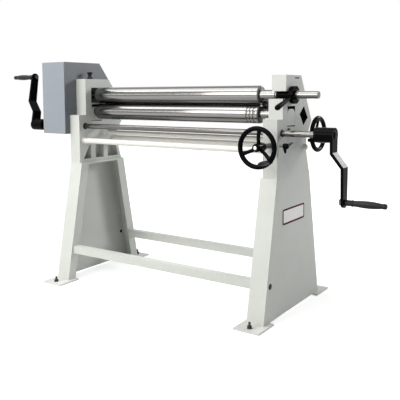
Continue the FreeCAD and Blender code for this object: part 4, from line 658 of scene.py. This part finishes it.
def wheel(name, centre, outward, across, radius, spokes, dish, hub_profile, handle, body):
    """Handwheel: an oval rim round its axis, three bowed spokes that dish back to the hub, the hub
    turned from its profile, and a boss and a hexagon nut on the rim for the handle. At share t of its
    run a spoke stands off by dish * (1 - t) ^ 2, and half its width is
    half_wide - waist * sin(pi * t) + flare * t ^ 6."""
    rim_radius, rim_flattening = 0.011, 0.94
    spoke_start, bow, waist, flare = 0.010, 0.003, 0.0030, 0.0020
    half_wide, half_thick, thinning = 0.0112, 0.0062, 0.0012
    boss_profile = [(-0.004, 0.0005), (-0.004, 0.0098), (0.0085, 0.0098), (0.0105, 0.0088),
                    (0.0112, 0.0070), (0.0112, 0.0005)]
    nut_profile = [(-0.0190, 0.0005), (-0.0190, 0.0082), (-0.0180, 0.0092), (-0.0110, 0.0092),
                   (-0.0080, 0.0105), (-0.0060, 0.0105), (-0.0060, 0.0005)]
    outward, across = np.array(outward, dtype=float), np.array(across, dtype=float)
    upward = np.cross(outward, across)
    centre = np.array(centre, dtype=float)
    middle_radius = radius - rim_radius
    angle = np.linspace(0, 2 * math.pi, 112, endpoint=False)
    spread = np.cos(angle)[:, None] * across + np.sin(angle)[:, None] * upward
    turn = np.linspace(0, 2 * math.pi, 24, endpoint=False)
    rim = (centre + (middle_radius * spread)[:, None, :]
           + (rim_radius * rim_flattening * np.cos(turn))[None, :, None] * outward
           + (rim_radius * np.sin(turn))[None, :, None] * spread[:, None, :])
    parts = [skin("rim", rim, None, crank_black, closed=True)]
    t = np.linspace(0, 1, 15)
    for spoke in spokes:
        away = math.cos(spoke) * across + math.sin(spoke) * upward
        round_way = math.cos(spoke) * upward - math.sin(spoke) * across
        run = spoke_start + (middle_radius - rim_radius) * t
        path = (centre + run[:, None] * away + (bow * np.sin(math.pi * t))[:, None] * round_way
                + (dish * (1 - t) ** 2)[:, None] * outward)
        wide = half_wide - waist * np.sin(math.pi * t) + flare * t ** 6
        thick = half_thick - thinning * t
        parts.append(skin("spoke", tube_rings(path, round_way, outward, wide, thick), None, crank_black))
    parts.append(skin("hub", lathe_rings(outward, hub_profile, centre, points=56), None, crank_black))
    seat = centre + middle_radius * (math.cos(handle) * across + math.sin(handle) * upward)
    parts.append(skin("handle_boss", lathe_rings(outward, boss_profile, seat, points=40), None, crank_black))
    parts.append(skin("handle_nut", lathe_rings(outward, nut_profile, seat, points=6), None, crank_black))
    made = joined(name, parts)
    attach(made, body)
    return made, seat


wheel_grip_profile = np.array([
    (11.4, 0.4), (11.4, 7.0), (12.4, 8.2), (15, 8.9), (24, 9.6), (36, 10.6), (48, 11), (60, 10.8),
    (72, 9.9), (80, 8.7), (83, 8.2), (84, 7.2), (85.5, 7.2), (86.5, 8.0), (90, 7.2), (92.4, 4.8),
    (93, 2.2), (93, 0.4)]) / 1000
front_centre = (0.614, -0.295, 0.798)
front_hub = [(-0.057, 0.0005), (-0.057, 0.0165), (-0.055, 0.0180), (-0.030, 0.0185), (-0.012, 0.0190),
             (0.004, 0.0190), (0.011, 0.0180), (0.0150, 0.0155), (0.0170, 0.0115), (0.0172, 0.0005)]
front_angles = [math.radians(81 + 120 * index) for index in range(3)]
front_wheel, front_seat = wheel("lift_handwheel", front_centre, outward=(0, -1, 0), across=(1, 0, 0),
                                radius=0.095, spokes=front_angles, dish=-0.016, hub_profile=front_hub,
                                handle=math.radians(315), body="lift_wheel")
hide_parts("front_handwheel")
front_grip = skin("lift_wheel_handle", lathe_rings((0, -1, 0), wheel_grip_profile, front_seat, points=48),
                  "lift_handle", grip_black)
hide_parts("front_wheel_grip")
bright_steel = steel("bright_steel", (0.62, 0.62, 0.62), shine=0.28, streaks=(300, 300, 300), depth=0.000004,
                     stain=0.08)
screw_profile = [(0.0165, 0.0005), (0.0165, 0.0078), (0.0172, 0.0084), (0.0192, 0.0080), (0.0205, 0.0062),
                 (0.0208, 0.0040), (0.0190, 0.0036), (0.0190, 0.0005)]
screw = skin("lift_wheel_screw", lathe_rings((0, -1, 0), screw_profile, front_centre, points=40),
             "lift_wheel", bright_steel)


# --- Clamp. A black lever boss on a bright screw that grips the lift shaft; a thin arm reaches back
# and a broad tapered tail hangs down.
clamp_axis = np.array([0.0, -0.160, 0.798])
clamp_profile = [(0.672, 0.0005), (0.672, 0.0090), (0.674, 0.0115), (0.680, 0.0132), (0.691, 0.0132),
                 (0.696, 0.0118), (0.698, 0.0080), (0.698, 0.0005)]
clamp_hub = skin("clamp_hub", lathe_rings("x", clamp_profile, clamp_axis, points=48), None, crank_black)
arm_foot, arm_angle = clamp_axis + (0.693, 0, 0), math.radians(77)
arm_way = (0, math.sin(arm_angle), math.cos(arm_angle))
arm_profile = [(0.002, 0.0005), (0.002, 0.0066), (0.020, 0.0060), (0.038, 0.0053), (0.050, 0.0048),
               (0.0535, 0.0036), (0.055, 0.0005)]
clamp_arm = skin("clamp_arm", lathe_rings(arm_way, arm_profile, arm_foot, points=32), None, crank_black)
tail_foot, tail_angle = clamp_axis + (0.6805, 0, 0), math.radians(10)
tail_way = (0, math.sin(tail_angle), -math.cos(tail_angle))
tail_profile = [(0.0, 0.0005), (0.0, 0.0085), (0.012, 0.0084), (0.020, 0.0070), (0.028, 0.0050),
                (0.0325, 0.0034), (0.034, 0.0005)]
clamp_tail = skin("clamp_tail", lathe_rings(tail_way, tail_profile, tail_foot, points=32), None, crank_black)
clamp = joined("clamp_handle", [clamp_hub, clamp_arm, clamp_tail])
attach(clamp, "clamp")
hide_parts("clamp_lever")


# --- Rear handwheel. The same wheel, a little smaller, on the cross shaft that slides the rear roll.
rear_hub = [(-0.0310, 0.0005), (-0.0310, 0.0175), (-0.0290, 0.0190), (-0.0120, 0.0198), (0.0060, 0.0200),
            (0.0180, 0.0195), (0.0260, 0.0180), (0.0305, 0.0150), (0.0325, 0.0110), (0.0327, 0.0005)]
rear_centre = (0.720, 0.117, 0.838)
rear_angles = [math.radians(180 + 120 * index) for index in range(3)]
rear_wheel, rear_seat = wheel("rear_handwheel_cast", rear_centre, outward=(1, 0, 0), across=(0, 0, -1),
                              radius=0.087, spokes=rear_angles, dish=-0.014, hub_profile=rear_hub,
                              handle=math.radians(290), body="rear_wheel")
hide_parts("rear_handwheel")
rear_grip = skin("rear_wheel_handle", lathe_rings((1, 0, 0), wheel_grip_profile, rear_seat, points=48),
                 "rear_handle", grip_black)
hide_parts("rear_wheel_grip")


# --- Label plate. A thin plate with rounded corners glued to the right stand, white, with a dark red
# line printed round its edge and nothing inside.
plate_middle = 0.464
plate_edge, plate_front = 0.6512, 0.6515
line_back, line_front = 0.6513, 0.65158


def rounded_oblong(half_long, half_high, radius, points=12):
    """Corner arcs of an oblong, counter-clockwise from the first corner."""
    turn = np.linspace(0, math.pi / 2, points)
    arcs = []
    for index, (a, b) in enumerate(((1, 1), (-1, 1), (-1, -1), (1, -1))):
        angle = turn + index * math.pi / 2
        arcs.append(np.stack([a * (half_long - radius) + radius * np.cos(angle),
                              b * (half_high - radius) + radius * np.sin(angle)], axis=1))
    return np.concatenate(arcs)


def plate_ring(outline, x):
    """The outline stood upright at this distance to the right."""
    return np.column_stack([np.full(len(outline), x), outline[:, 0], plate_middle + outline[:, 1]])


plate_white = enamel("plate_white", (0.80, 0.80, 0.785), shine=0.30, peel=0.3, waves=0.3, wear=0.1, dust=0.05)
edge_line = enamel("edge_line_red", (0.095, 0.007, 0.012), shine=0.45, peel=0.3, waves=0.3, wear=0.05,
                   dust=0.02)
line_shader = edge_line.node_tree.nodes["Principled BSDF"]
line_shader.inputs["Coat Weight"].default_value = 0.0
line_shader.inputs["IOR"].default_value = 1.08
edge_outline, face_outline = rounded_oblong(0.1175, 0.038, 0.010), rounded_oblong(0.1172, 0.0377, 0.0097)
plate = skin("label_plate", [plate_ring(edge_outline, sheet_face), plate_ring(edge_outline, plate_edge),
                             plate_ring(face_outline, plate_front)], "frame", plate_white)
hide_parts("name_plate")
outer, inner = rounded_oblong(0.1168, 0.0373, 0.0110), rounded_oblong(0.1080, 0.0285, 0.0055)
line = skin("label_plate_line", [plate_ring(outer, line_back), plate_ring(outer, line_front),
                                 plate_ring(inner, line_front), plate_ring(inner, line_back)],
            "frame", edge_line, closed=True)


# --- Camera, light and floor. A pale studio with an even sky and a plain floor: a large soft lamp at
# the front left, a panel overhead, two thin tubes that draw the bright bands on the rolls, and a
# small lamp behind at the right.
eye = np.array([1.8843, -2.6114, 1.0391])
yaw, pitch, roll = 0.599, 0.084, -0.005
frame_pixels, focal_pixels, sensor_width = 400, 609.8, 36
centre_across, centre_down = 197.64, 143.64
ahead = np.array([-math.sin(yaw) * math.cos(pitch), math.cos(yaw) * math.cos(pitch), -math.sin(pitch)])
across = np.array([math.cos(yaw), math.sin(yaw), 0.0])
upward = np.cross(across, ahead)
across, upward = (across * math.cos(roll) + upward * math.sin(roll),
                  upward * math.cos(roll) - across * math.sin(roll))
camera_data = bpy.data.cameras.new("camera")
camera_data.sensor_width = sensor_width
camera_data.lens = focal_pixels / frame_pixels * sensor_width
camera_data.shift_x = (frame_pixels / 2 - centre_across) / frame_pixels
camera_data.shift_y = (centre_down - frame_pixels / 2) / frame_pixels
camera = bpy.data.objects.new("camera", camera_data)
turn = np.eye(4)
turn[:3, 0], turn[:3, 1], turn[:3, 2], turn[:3, 3] = across, upward, -ahead, eye
camera.matrix_world = Matrix(turn.tolist())
bpy.context.scene.collection.objects.link(camera)
bpy.context.scene.camera = camera


def lamp(name, place, target, size, power, colour=(1, 1, 1)):
    """Soft lamp that faces its target and that the camera doesn't see. Its size is one side of a
    square, or the level side and the other side of an oblong."""
    light = bpy.data.lights.new(name, "AREA")
    light.shape = "RECTANGLE"
    light.size, light.size_y = size if isinstance(size, tuple) else (size, size)
    light.energy = power
    light.color = colour
    item = bpy.data.objects.new(name, light)
    aim = np.array(place, dtype=float) - np.array(target, dtype=float)
    aim /= np.linalg.norm(aim)
    side_way = np.cross((0, 0, 1), aim)
    side_way /= np.linalg.norm(side_way)
    turn = np.eye(4)
    turn[:3, 0], turn[:3, 1], turn[:3, 2], turn[:3, 3] = side_way, np.cross(aim, side_way), aim, place
    item.matrix_world = Matrix(turn.tolist())
    item.visible_camera = False
    bpy.context.scene.collection.objects.link(item)


lamp("key", (-1.3, -6.0, 3.0), target=(0, 0, 0.7), size=3.6, power=245, colour=(1.0, 0.97, 0.94))
# The panel and the strip face down. Their targets are 5 mm off, which turns their length along the rolls.
lamp("panel", (-1.5, -1.1, 3.3), target=(-1.5, -1.095, 1.0), size=(3.8, 2.4), power=95)
lamp("strip", (-1.4, -1.4, 3.3), target=(-1.4, -1.395, 1.0), size=(4.0, 0.15), power=25)
lamp("tube", (-3.5, -4.9, 2.2), target=(-3.5, 0, 1.0), size=(6.4, 0.34), power=45)
lamp("rim", (1.9, 3.2, 2.35), target=(0.3, 0, 0.8), size=1.1, power=88)

# Seen directly or in a reflection the sky is plain white. As a light its strength is sky_level.
world = bpy.data.worlds.new("sky")
world.use_nodes = True
bpy.context.scene.world = world
sky = world.node_tree
paths = add(sky, "ShaderNodeLightPath")
seen = maths(sky, "MAXIMUM", paths.outputs["Is Camera Ray"], paths.outputs["Is Glossy Ray"])
sky_level = 0.22
sky_light = sky.nodes["Background"]
sky_light.inputs["Color"].default_value = (1, 1, 1, 1)
sky.links.new(maths(sky, "ADD", maths(sky, "MULTIPLY", seen, 1 - sky_level), sky_level),
              sky_light.inputs["Strength"])

# The floor glows where the camera or a reflection sees it, and fully from 3.2 m out, so that it
# meets the sky without an edge.
floor_material, floor_tree, floor_shader = finish_of("floor_white")
floor_shader.inputs["Base Color"].default_value = (0.64, 0.64, 0.64, 1)
floor_shader.inputs["Roughness"].default_value = 0.9
floor_paths = add(floor_tree, "ShaderNodeLightPath")
seen_floor = maths(floor_tree, "MAXIMUM", floor_paths.outputs["Is Camera Ray"],
                   floor_paths.outputs["Is Glossy Ray"])
from_middle = add(floor_tree, "ShaderNodeVectorMath", {"operation": "LENGTH"},
                  i0=add(floor_tree, "ShaderNodeTexCoord").outputs["Object"]).outputs["Value"]
far = add(floor_tree, "ShaderNodeMapRange", {"interpolation_type": "SMOOTHSTEP"},
          Value=from_middle, From_Min=1.2, From_Max=3.2, To_Min=0.55, To_Max=1.0)
glow = maths(floor_tree, "MULTIPLY", seen_floor, far.outputs[0])
floor_shader.inputs["Emission Color"].default_value = (1, 1, 1, 1)
floor_tree.links.new(glow, floor_shader.inputs["Emission Strength"])
span, sunk = 12.0, -0.0005
floor_mesh = bpy.data.meshes.new("floor")
floor_mesh.from_pydata([(-span, -span, sunk), (span, -span, sunk), (span, span, sunk), (-span, span, sunk)],
                       [], [(0, 1, 2, 3)])
floor_mesh.materials.append(floor_material)
floor = bpy.data.objects.new("floor", floor_mesh)
bpy.context.scene.collection.objects.link(floor)
bpy.context.scene.view_settings.view_transform = "Standard"
